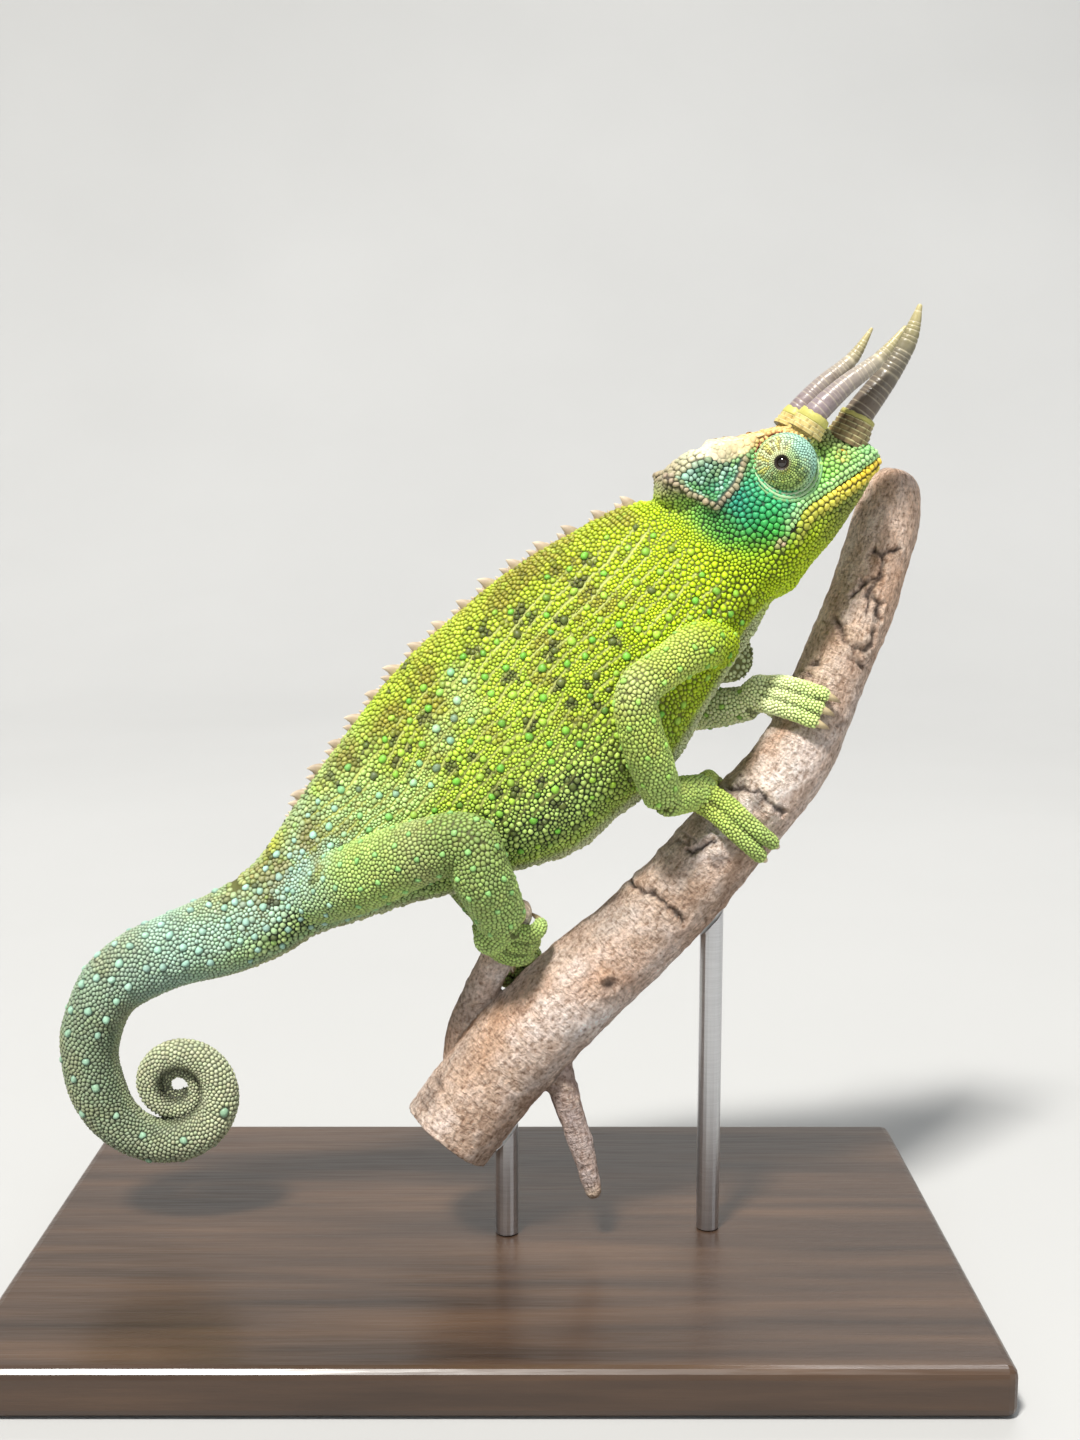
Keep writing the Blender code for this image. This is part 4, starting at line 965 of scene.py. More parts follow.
def limb_colours(places, forms):
    points = places.points
    names = [forms[number].name for number in places.form]
    part = places.along / np.array([form.along[-1] for form in forms])[places.form]
    hind = np.array(["hind" in name for name in names])
    left = np.array(["left" in name for name in names])
    toes = np.array([name.startswith("foot") and not name.endswith("_0") for name in names])
    palms = np.array([name.endswith("_0") for name in names])
    leg = ~toes & ~palms
    patch = noise(points, 3.5, 15)
    colour = painted(
        np.broadcast_to(LIMB, (len(points), 3)), ((172, 200, 118), hind * 0.7),
        ((192, 210, 96), ~hind * hill(part - 0.3, 0.22) * 0.7),
        ((190, 194, 136), hill(part - 0.5, 0.06) * 0.5 * leg), ((178, 206, 126), rise(part, 0.6, 0.9) * 0.5),
        ((224, 234, 184), left * ~hind * 0.7), ((180, 210, 124), palms * ~left * 0.5))
    # Painted shade: the hind leg is darker near the hip.
    colour = colour * (1 - 0.14 * hind * (1 - rise(part, 0.05, 0.3)) * leg)[:, None]
    colour = painted(colour, (TOE, toes * rise(part, 0.45, 0.9) * 0.8 * ~hind),
                     ((196, 178, 92), rise(patch, 0.2, 0.8) * 0.22))
    # Painted shade darkens the hind leg round the knee and shin, and painted light brightens the far foreleg,
    # which lies in shadow.
    shade = hind * 0.38 * hill(part - 0.65, 0.2) * leg - 0.45 * left * ~hind
    colour = colour * ((1 + 0.14 * noise(points, 1.5, 16)) * (1 - shade))[:, None]
    # Painted shade in the furrows between the toes.
    colour = colour * (1 - 0.65 * toe_furrows(points, names, forms))[:, None]
    # Painted shade in the gaps: the skin between the scales is kept far darker than the scales, with a brown
    # skin tone mixed in.
    skin = mix(colour * 0.26, srgb(104, 84, 36), 0.2)
    knob = mix(np.broadcast_to(srgb(158, 206, 96), colour.shape), srgb(142, 196, 122), hind * 0.8)
    root = np.where(leg & (part < 0.4))[0]
    if len(root):
        _, along, turn, _ = forms[0].locate(points[root])
        near = places.take(root)
        near.along, near.turn, near.low = along, turn, (1 - np.cos(2 * np.pi * turn)) / 2
        share = 1 - rise(part[root] + 0.05 * patch[root], 0.06, 0.3)
        own = body_colours(near, forms)
        colour, skin, knob = colour.copy(), skin.copy(), knob.copy()
        for target, value in zip((colour, skin, knob), own):
            target[root] = mix(target[root], value, share)
    return colour, skin, knob


def flesh_kinds(forms, places):
    """Whether each place is on the body, the head or a limb."""
    kinds = [ON_BODY if form.name == "body" else ON_HEAD if form.name.startswith(("head", "sheath"))
             else ON_LIMB for form in forms]
    return np.array(kinds)[places.form]


def colours(places, forms):
    """Scale colour, skin colour and tubercle colour of every place on the flesh."""
    kind = flesh_kinds(forms, places)
    out = [np.zeros((len(places.points), 3)) for _ in range(3)]
    makers = (lambda p: body_colours(p, forms), head_colours, lambda p: limb_colours(p, forms))
    for number, maker in enumerate(makers):
        mine = np.where(kind == number)[0]
        if len(mine):
            for target, value in zip(out, maker(places.take(mine))):
                target[mine] = value
    near = np.where(kind == ON_BODY)[0]
    blend = 1 - rise(places.along[near], forms[0].nape + 1.0, forms[0].nape + 6.5)
    soft = near[blend > 0]
    if len(soft):
        other = head_colours(places.take(soft))
        for target, value in zip(out, other):
            target[soft] = mix(target[soft], value, blend[blend > 0])
    return out


# Where the scales grow

def lattice(form, spacing, start, end, jitter, pitch=0.866):
    """Staggered rows of roots round a form, a spacing apart that may change along it."""
    roots, along, row = [], start, 0
    while along < end:
        size = spacing(along)
        place = np.interp(along, form.along, np.arange(len(form.along)))
        girth = np.interp(along, form.along, form.girth)
        count = max(4, round(girth / size))
        turn = (np.arange(count) + 0.5 * (row % 2)) / count
        shift = DRAW.normal(0, jitter, (2, count))
        turn = (turn + shift[0] / count) % 1
        step = size / max(form.along[-1] / len(form.along), 1e-6)
        place = np.clip(place + shift[1] * step, 0, len(form.along) - 1.001)
        ring = place.astype(int)
        sides = form.grid.shape[1]
        side = (turn * sides).astype(int) % sides
        part, across = (place - ring)[:, None], (turn * sides % 1)[:, None]
        low = form.grid[ring, side] * (1 - across) + form.grid[ring, (side + 1) % sides] * across
        high = form.grid[ring + 1, side] * (1 - across) + form.grid[ring + 1, (side + 1) % sides] * across
        roots.append(low * (1 - part) + high * part)
        along += size * pitch
        row += 1
    return np.concatenate(roots)


def pairs_within(points, reach):
    """Index pairs of points nearer than a reach, sorted by the first."""
    cell = np.floor(points / reach).astype(np.int64)
    cell -= cell.min(0) - 1
    width = cell.max(0) + 2
    key = (cell[:, 0] * width[1] + cell[:, 1]) * width[2] + cell[:, 2]
    order = np.argsort(key, kind="stable")
    ranked = key[order]
    firsts, seconds = [], []
    for dx in (-1, 0, 1):
        for dy in (-1, 0, 1):
            for dz in (-1, 0, 1):
                wanted = key + (dx * width[1] + dy) * width[2] + dz
                start = np.searchsorted(ranked, wanted, "left")
                count = np.searchsorted(ranked, wanted, "right") - start
                first = np.repeat(np.arange(len(points)), count)
                offset = np.arange(count.sum()) - np.repeat(np.cumsum(count) - count, count)
                second = order[np.repeat(start, count) + offset]
                near = ((points[first] - points[second]) ** 2).sum(1) < reach ** 2
                near &= first != second
                firsts.append(first[near])
                seconds.append(second[near])
    first, second = np.concatenate(firsts), np.concatenate(seconds)
    order = np.argsort(first, kind="stable")
    return first[order], second[order]


def thinned(points, spacing, rank):
    """Which points stay, none nearer to another than its spacing, those of lower rank first."""
    state = np.zeros(len(points), int)
    first, second = pairs_within(points, float(spacing.max()))
    limit = (spacing[first] + spacing[second]) / 2
    close = ((points[first] - points[second]) ** 2).sum(1) < limit ** 2
    first, second = first[close], second[close]
    while (state == 0).any():
        open_pair = (state[first] == 0) & (state[second] == 0)
        f, s = first[open_pair], second[open_pair]
        beaten = np.zeros(len(points), bool)
        beaten[f[rank[s] < rank[f]]] = True
        winner = (state == 0) & ~beaten
        state[winner] = 1
        lost = second[winner[first]]
        state[lost[state[lost] == 0]] = 2
    return state == 1


def fitting(held, held_size, spots, size, share, early=0.0):
    """Which spots find room, by a share of the spacings, between the held ones and each other."""
    rank = np.concatenate([-1 - np.arange(len(held)), 1 + DRAW.random(len(spots)) - early])
    sizes = np.concatenate([held_size, size]) * share
    return thinned(np.concatenate([held, spots]), sizes, rank)[len(held):]


def surface_samples(skin, wanted, density):
    """Random points on the faces that are wanted."""
    faces = skin.faces[wanted]
    a, b, c, d = (skin.points[faces[:, k]] for k in range(4))
    area = np.linalg.norm(np.cross(c - a, d - b), axis=1) / 2
    count = DRAW.poisson(area * density)
    pick = np.repeat(np.arange(len(faces)), count)
    s, t = DRAW.random((2, len(pick), 1))
    return (a[pick] * (1 - s) + b[pick] * s) * (1 - t) + (d[pick] * (1 - s) + c[pick] * s) * t


def head_line(line, spacing, lift=0.0):
    """Points in head coordinates u and v along a polyline, a spacing apart."""
    line = np.asarray(line, float)
    run = np.concatenate([[0], np.cumsum(np.linalg.norm(np.diff(line, axis=0), axis=1))])
    places = np.arange(0, run[-1], spacing)
    return np.stack([np.interp(places, run, line[:, k]) for k in range(2)], 1) + [0, lift]


def head_size(flat):
    """Spacing of the scales on the head at u and v."""
    u, v = flat.T
    size = np.full(len(u), 0.78)
    cheek = hill(np.hypot((u + 21.5) / 3.4, (v - 7.0) / 3.6), 1.0)
    size = size + 0.36 * cheek + 0.12 * noise(np.stack([u, v, u * 0], 1), 1.4, 75)
    temple = in_temple(flat)
    size = size * (1 - temple) + 0.74 * temple
    behind = rise(-u, 26.5, 28.0) * (1 - rise(v, 17.5, 19.5)) * rise(v, 2.0, 5.0)
    behind = np.maximum(behind, rise(-u, 29.6, 30.4))
    size = size * (1 - behind) + 0.56 * behind
    band = in_band(flat)
    size = size * (1 - band) + (0.6 + 0.45 * rise(-u, 22, 23.5)) * band
    throat = rise(-v - 0.4, 0, 2)
    return size * (1 - throat) + 0.64 * throat


def place_on_side(skin, flat, side):
    """The skin's points at u and v, seen from one side of the head."""
    found = []
    origin = to_world(np.stack([flat[:, 0], np.full(len(flat), 30.0 * side), flat[:, 1]], 1))
    direction = Vector((HEAD_TURN @ np.array([0, -side, 0])).tolist())
    for start in origin.tolist():
        spot, _, _, _ = skin.tree.ray_cast(start, direction)
        if spot is not None:
            found.append(tuple(spot))
    return np.array(found).reshape(-1, 3)


def trunk_size(points, part, low):
    """Spacing of the scales on the trunk: larger near the back, finer below, and patchy."""
    size = 0.55 + 0.15 * (1 - rise(low, 0.12, 0.4)) + 0.09 * noise(points, 3.0, 72)
    size = size + 0.1 * noise(points, 1.2, 73)
    size = size - 0.04 * rise(low, 0.6, 0.8) + 0.1 * rise(part, 0.8, 1.0) - 0.05 * (1 - rise(part, 0.08, 0.2))
    size = size + 0.22 * hill(part - 0.09, 0.05) * rise(low, 0.3, 0.5) * (1 - rise(low, 0.75, 0.9))
    size = size + 0.2 * hill(low - 0.78, 0.14)
    return np.clip(size, 0.46, 0.95)


def grow_roots(skin, forms, skin_places):
    """Roots of all scales, the spacing of each, whether it is a knob and how firmly it is held."""
    body = forms[0]
    rows = []
    def add(points, size, kind, held):
        rows.append((points, np.full(len(points), size) if np.isscalar(size) else size,
                     np.full(len(points), kind), np.full(len(points), held)))
    def add_knobs(spots, space, sizes, held):
        keep = thinned(spots, space, DRAW.random(len(spots)))
        add(spots[keep], sizes[keep], KNOB, held)
    # Rows along the back
    spots = lattice(body, lambda value: 0.86, body.nape + 1.2, body.vent * 1.02, 0.1, 1.3)
    near = Places(spots, [body])
    columns = near.low < 0.10 + 0.04 * noise(spots, 3.0, 74)
    add(spots[columns], 0.95, PLAIN, 0.5)
    # Trunk
    faces = skin.faces
    middle = skin_places.take(faces[:, 0])
    on_trunk = (middle.form == BODY) & (middle.along > body.nape + 0.6) & (middle.along < body.vent * 1.05)
    spots = surface_samples(skin, on_trunk, TRUNK_DENSITY)
    near = Places(spots, [body])
    part = near.along / body.vent
    open_skin = (near.low > 0.10 + 0.04 * noise(spots, 3.0, 74)) & (near.gap < 1.0)
    open_skin &= creases(spots, part, near.low) < 0.45
    spots, part, low = spots[open_skin], part[open_skin], near.low[open_skin]
    size = trunk_size(spots, part, low)
    size = size * DRAW.choice([0.85, 1.0, 1.25, 1.6], len(spots), p=[0.34, 0.4, 0.18, 0.08])
    pick = np.where((low > 0.05) & (low < 0.9) & (part > 0.1))[0]
    pick = DRAW.choice(pick, KNOB_TRIES, replace=False)
    add_knobs(spots[pick], 2.9 - 0.5 * rise(part[pick], 0.75, 1.0), DRAW.uniform(0.9, 1.35, len(pick)), 0.7)
    knobs = rows[-1][0]
    keep = fitting(knobs, rows[-1][1] * 1.25, spots, size, 0.84, 0.4 * (size > 0.85))
    add(spots[keep], size[keep], PLAIN, 0.1)
    # Tail, in rings
    def tail_size(along):
        return float(np.interp(along, [body.vent * 1.05, body.vent * 1.5, body.vent * 2.3, body.along[-1]],
                               [0.74, 0.8, 0.68, 0.42]))
    spots = lattice(body, tail_size, body.vent * 1.05 + 0.5, body.along[-1] - 0.2, 0.13)
    near = Places(spots, [body])
    size = np.array([tail_size(value) for value in near.along])
    pick = np.where((near.low < 0.75) & (near.along < body.vent * 1.75))[0]
    before = len(rows)
    add_knobs(spots[pick], 2.8 + 3.0 * rise(near.along[pick] / body.vent, 1.25, 1.7),
              DRAW.uniform(1.2, 1.6, len(pick)), 0.7)
    knobs = rows[before][0]
    first, second = pairs_within(np.concatenate([spots, knobs]), 0.95)
    left = np.ones(len(spots), bool)
    left[first[(first < len(spots)) & (second >= len(spots))]] = False
    add(spots[left], size[left], PLAIN, 0.1)
    # Limbs
    for number, form in enumerate(forms):
        if number < FIRST_LIMB:
            continue
        palm = form.name.endswith("_0")
        toe = form.name.startswith("foot") and not palm
        size = 0.68 if toe else 0.76 if palm else 0.84
        spots = lattice(form, lambda value: size, 0.6, form.along[-1] - 0.2, 0.13)
        add(spots, size * DRAW.uniform(0.9, 1.1, len(spots)), PLAIN, 0.15)
        if not toe and not palm:
            add_knobs(spots + DRAW.normal(0, 0.1, spots.shape), np.full(len(spots), 3.2),
                      np.full(len(spots), 1.2), 0.5)
    # More between them, where a bend has spread the rows
    old = np.concatenate([row[0] for row in rows])
    old_size = np.concatenate([row[1] for row in rows])
    spread = (middle.form >= FIRST_LIMB) | ((middle.form == BODY) & (middle.along >= body.vent * 1.04))
    spots = surface_samples(skin, spread, FILLING_DENSITY)
    near = Places(spots, forms)
    size = np.where(near.form == BODY, 0.8, 0.66)
    keep = fitting(old, old_size, spots, size, 0.92)
    add(spots[keep], size[keep], PLAIN, 0.1)
    # Rows on the face
    start = len(rows)
    lips = [(-0.6, 0.75), *MOUTH_LINE[2:8]]
    for side in (-1, 1):
        for line, spacing, lift, size, kind in (
                (lips, 0.8, 0.5, 0.85, LIP), (lips, 0.9, 1.25, 0.9, LIP), (lips, 1.0, -0.6, 1.12, LIP),
                (lips, 1.15, -1.6, 1.2, LIP), (TEMPLE_RIM, 0.9, 0.0, 1.1, RIDGE),
                (CASQUE_CREST, 1.2, 0.3, 1.2, RIDGE)):
            spots = place_on_side(skin, head_line(line, spacing, lift), side)
            uneven = (0.82, 1.2) if kind == RIDGE else (0.92, 1.1)
            add(spots + DRAW.normal(0, 0.07, spots.shape), size * DRAW.uniform(*uneven, len(spots)),
                kind, 0.85)
    held = np.concatenate([row[0] for row in rows[start:]])
    held_size = np.concatenate([row[1] for row in rows[start:]])
    on_head = ((middle.form >= HEAD) & (middle.form < FIRST_LIMB)) | (
        (middle.form == BODY) & (middle.along < body.nape + 1.4))
    spots = surface_samples(skin, on_head, HEAD_DENSITY)
    flat = to_head(spots)[:, [0, 2]]
    open_skin = (to_line(flat, MOUTH_LINE[1:10]) > 0.3) | (np.abs(to_head(spots)[:, 1]) < 1.5)
    open_skin &= np.hypot(*(flat - NOSTRIL).T) > 0.55
    spots, flat = spots[open_skin], flat[open_skin]
    size = head_size(flat)
    keep = fitting(held, held_size, spots, size, 0.84)
    add(spots[keep], size[keep] * DRAW.uniform(0.9, 1.12, keep.sum()), PLAIN, 0.1)
    points, sizes, kinds, firm = (np.concatenate([row[k] for row in rows]) for k in range(4))
    spot, _ = skin.nearest(points)
    near = np.linalg.norm(spot - points, axis=1) < 0.6
    return spot[near], sizes[near], kinds[near], firm[near]


def relaxed(skin, points, sizes, firm, times=5):
    """Roots pushed apart to even spacings, kept on the skin."""
    for _ in range(times):
        first, second = pairs_within(points, 1.35)
        gap = points[first] - points[second]
        distance = np.maximum(np.linalg.norm(gap, axis=1), 1e-6)
        target = (sizes[first] + sizes[second]) / 2 * 1.02
        close = distance < target
        push = gap[close] / distance[close][:, None] * (target - distance)[close][:, None] * 0.28
        move = np.stack([np.bincount(first[close], push[:, k], minlength=len(points)) for k in range(3)], 1)
        length = np.linalg.norm(move, axis=1, keepdims=True)
        move *= np.minimum(1, 0.3 * sizes[:, None] / np.maximum(length, 1e-9))
        points, normals = skin.nearest(points + move * (1 - firm)[:, None])
    return points, normals


def crowded_out(points, sizes, kinds):
    """Leaves out roots that lie far too near to a larger one."""
    rank = np.argsort(np.argsort(-(sizes + kinds * 2.0 + 0.001 * np.arange(len(points)) / len(points))))
    return thinned(points, sizes * 0.62, rank.astype(float))


def outlines(points, sizes, first_axis, second_axis, corners, reach=1.9):
    """How far each scale reaches in each of its directions before it meets its neighbours."""
    first, second = pairs_within(points, reach)
    gap = points[second] - points[first]
    a = (gap * first_axis[first]).sum(1)
    b = (gap * second_axis[first]).sum(1)
    distance = np.hypot(a, b)
    bearing = np.arctan2(b, a)
    share = sizes[first] / (sizes[first] + sizes[second])
    angle = 2 * np.pi * np.arange(corners) / corners
    facing = np.cos(angle[None] - bearing[:, None])
    bound = np.where(facing > 0.12, (share * distance)[:, None] / np.maximum(facing, 0.12), 9.0)
    reaches = np.full((len(points), corners), 9.0)
    starts = np.searchsorted(first, np.arange(len(points)))
    has = np.bincount(first, minlength=len(points)) > 0
    reaches[has] = np.minimum.reduceat(bound, starts[has], axis=0)
    cap = sizes[:, None] * 0.8
    reach = np.minimum(reaches * 0.985, 3.0)
    return (reach ** -8 + cap ** -8) ** -0.125


def domes(points, normals, first_axis, second_axis, reach, height, kind, colour, edge, uv, lean):
    """Domed scales as one mesh: points, triangles, colours and map places; the colours carry painted shade at
    each base and a painted highlight at the apex.
    """
    corners, rings = PROFILES[kind]
    count = len(points)
    angle = 2 * np.pi * np.arange(corners) / corners
    out = first_axis[:, None] * np.cos(angle)[:, None] + second_axis[:, None] * np.sin(angle)[:, None]
    layers, shades, maps = [], [], []
    for number, (wide, high) in enumerate(rings):
        shift = first_axis * (lean * height * max(high, 0))[:, None]
        layers.append((points + shift)[:, None] + out * (reach * wide)[..., None]
                      + (normals * (height * high)[:, None])[:, None])
        # Painted shade: each ring takes more of the dark edge colour towards the base, and grows brighter
        # higher up.
        part = number / len(rings)
        share = (0.2, 0.86, 1.0, 1.0)[number]
        shade = edge * (1 - share) + colour * share * (0.84 + 0.2 * part)
        shades.append(np.repeat(shade[:, None], corners, 1))
        maps.append(uv[:, None] + np.stack([np.cos(angle), np.sin(angle)], 1)[None] * 0.0015 * wide)
    shift = first_axis * (lean * height)[:, None]
    layers.append((points + normals * height[:, None] + shift)[:, None])
    # Painted highlight: the apex is brighter than the scale's own colour.
    shades.append((colour * 1.2)[:, None])
    maps.append(uv[:, None])
    size = corners * len(rings) + 1
    spots = np.concatenate(layers, 1).reshape(-1, 3)
    shade = np.concatenate(shades, 1).reshape(-1, 3)
    place = np.concatenate(maps, 1).reshape(-1, 2)
    side = np.arange(corners)
    after = (side + 1) % corners
    faces = []
    for number in range(len(rings) - 1):
        a, b = number * corners + side, number * corners + after
        faces += [np.stack([a, b, b + corners], 1), np.stack([a, b + corners, a + corners], 1)]
    top = (len(rings) - 1) * corners
    faces.append(np.stack([top + side, top + after, np.full(corners, size - 1)], 1))
    faces = np.concatenate(faces)
    faces = (faces[None] + (np.arange(count) * size)[:, None, None]).reshape(-1, 3)
    return spots, faces, shade, place


# Materials

def nodes_for(name, roughness):
    made = bpy.data.materials.new(name)
    made.use_nodes = True
    tree = made.node_tree
    shader = tree.nodes["Principled BSDF"]
    shader.inputs["Roughness"].default_value = roughness
    return made, tree, shader


def node(tree, kind, links=None, **values):
    """A new node with its values, and links to its inputs."""
    made = tree.nodes.new(kind)
    for key, value in values.items():
        if hasattr(made, key):
            setattr(made, key, value)
        else:
            made.inputs[key].default_value = value
    for key, source in (links or {}).items():
        tree.links.new(source, made.inputs[key])
    return made


def noise_output(tree, scale, detail=4.0, stretch=(1, 1, 1), source=None, **values):
    """Noise on the object's own coordinates, or on those of another source."""
    if source is None:
        source = tree.nodes.new("ShaderNodeTexCoord").outputs["Object"]
    mapping = node(tree, "ShaderNodeMapping", {"Vector": source}, Scale=stretch)
    made = node(tree, "ShaderNodeTexNoise", {"Vector": mapping.outputs["Vector"]},
                Scale=scale, Detail=detail, **values)
    return made.outputs["Fac"]


def ramp_output(tree, source, stops):
    made = node(tree, "ShaderNodeValToRGB", {"Fac": source})
    elements = made.color_ramp.elements
    while len(elements) < len(stops):
        elements.new(0.5)
    for element, (place, colour) in zip(elements, stops):
        element.position = place
        element.color = (*colour, 1)
    return made.outputs["Color"]


def range_output(tree, source, low, high):
    made = node(tree, "ShaderNodeMapRange", {"Value": source}, **{"To Min": low, "To Max": high})
    return made.outputs["Result"]


def product_output(tree, first, second):
    return node(tree, "ShaderNodeVectorMath", {0: first, 1: second}, operation="MULTIPLY").outputs["Vector"]


def add_bump(tree, shader, source, distance, strength=1.0):
    made = node(tree, "ShaderNodeBump", {"Height": source}, Strength=strength, Distance=distance)
    tree.links.new(made.outputs["Normal"], shader.inputs["Normal"])


def marked_material(name, roughness, bump, scale, contrast=(0.82, 1.12), spread=0.12):
    """A material that takes its colours from the mesh, markings and painted shade alike, with a fine mottle,
    gloss and grain.
    """
    made, tree, shader = nodes_for(name, roughness)
    shader.inputs["Specular IOR Level"].default_value = 0.35
    colour = node(tree, "ShaderNodeVertexColor", layer_name="Col").outputs["Color"]
    grain = noise_output(tree, scale, 5.0)
    shade = range_output(tree, grain, *contrast)
    tree.links.new(product_output(tree, colour, shade), shader.inputs["Base Color"])
    gloss = range_output(tree, grain, roughness - spread, roughness + spread)
    tree.links.new(gloss, shader.inputs["Roughness"])
    add_bump(tree, shader, grain, bump)
    return made


def wood_material():
    made, tree, shader = nodes_for("stained_wood", 0.32)
    grain = noise_output(tree, 90.0, 6.0, (0.16, 2.2, 2.2))
    pores = noise_output(tree, 900.0, 3.0, (0.08, 1.6, 1.6))
    tone = ramp_output(tree, grain, [
        (0.25, (0.022, 0.012, 0.007)), (0.5, (0.055, 0.030, 0.017)), (0.75, (0.095, 0.052, 0.028))])
    tree.links.new(tone, shader.inputs["Base Color"])
    gloss = ramp_output(tree, pores, [(0.3, (0.5, 0.5, 0.5)), (0.6, (0.3, 0.3, 0.3))])
    tree.links.new(gloss, shader.inputs["Roughness"])
    add_bump(tree, shader, pores, 0.00012, 0.6)
    shader.inputs["Coat Weight"].default_value = 0.25
    shader.inputs["Coat Roughness"].default_value = 0.2
    return made


def steel_material():
    made, tree, shader = nodes_for("brushed_steel", 0.3)
    shader.inputs["Metallic"].default_value = 1.0
    lines = noise_output(tree, 5200.0, 2.0, (0.03, 0.03, 1.0))
    tone = ramp_output(tree, lines, [(0.3, (0.54, 0.54, 0.55)), (0.7, (0.62, 0.62, 0.63))])
    tree.links.new(tone, shader.inputs["Base Color"])
    gloss = ramp_output(tree, lines, [(0.3, (0.31, 0.31, 0.31)), (0.7, (0.37, 0.37, 0.37))])
    tree.links.new(gloss, shader.inputs["Roughness"])
    add_bump(tree, shader, lines, 0.000003, 0.2)
    return made


def eye_material():
    made, tree, shader = nodes_for("eye_dark", 0.06)
    tone = ramp_output(tree, noise_output(tree, 900.0, 3.0), [
        (0.35, (0.006, 0.005, 0.004)), (0.75, (0.022, 0.013, 0.008))])
    tree.links.new(tone, shader.inputs["Base Color"])
    shader.inputs["Coat Weight"].default_value = 0.8
    shader.inputs["Coat Roughness"].default_value = 0.03
    return made


# Skin and coat

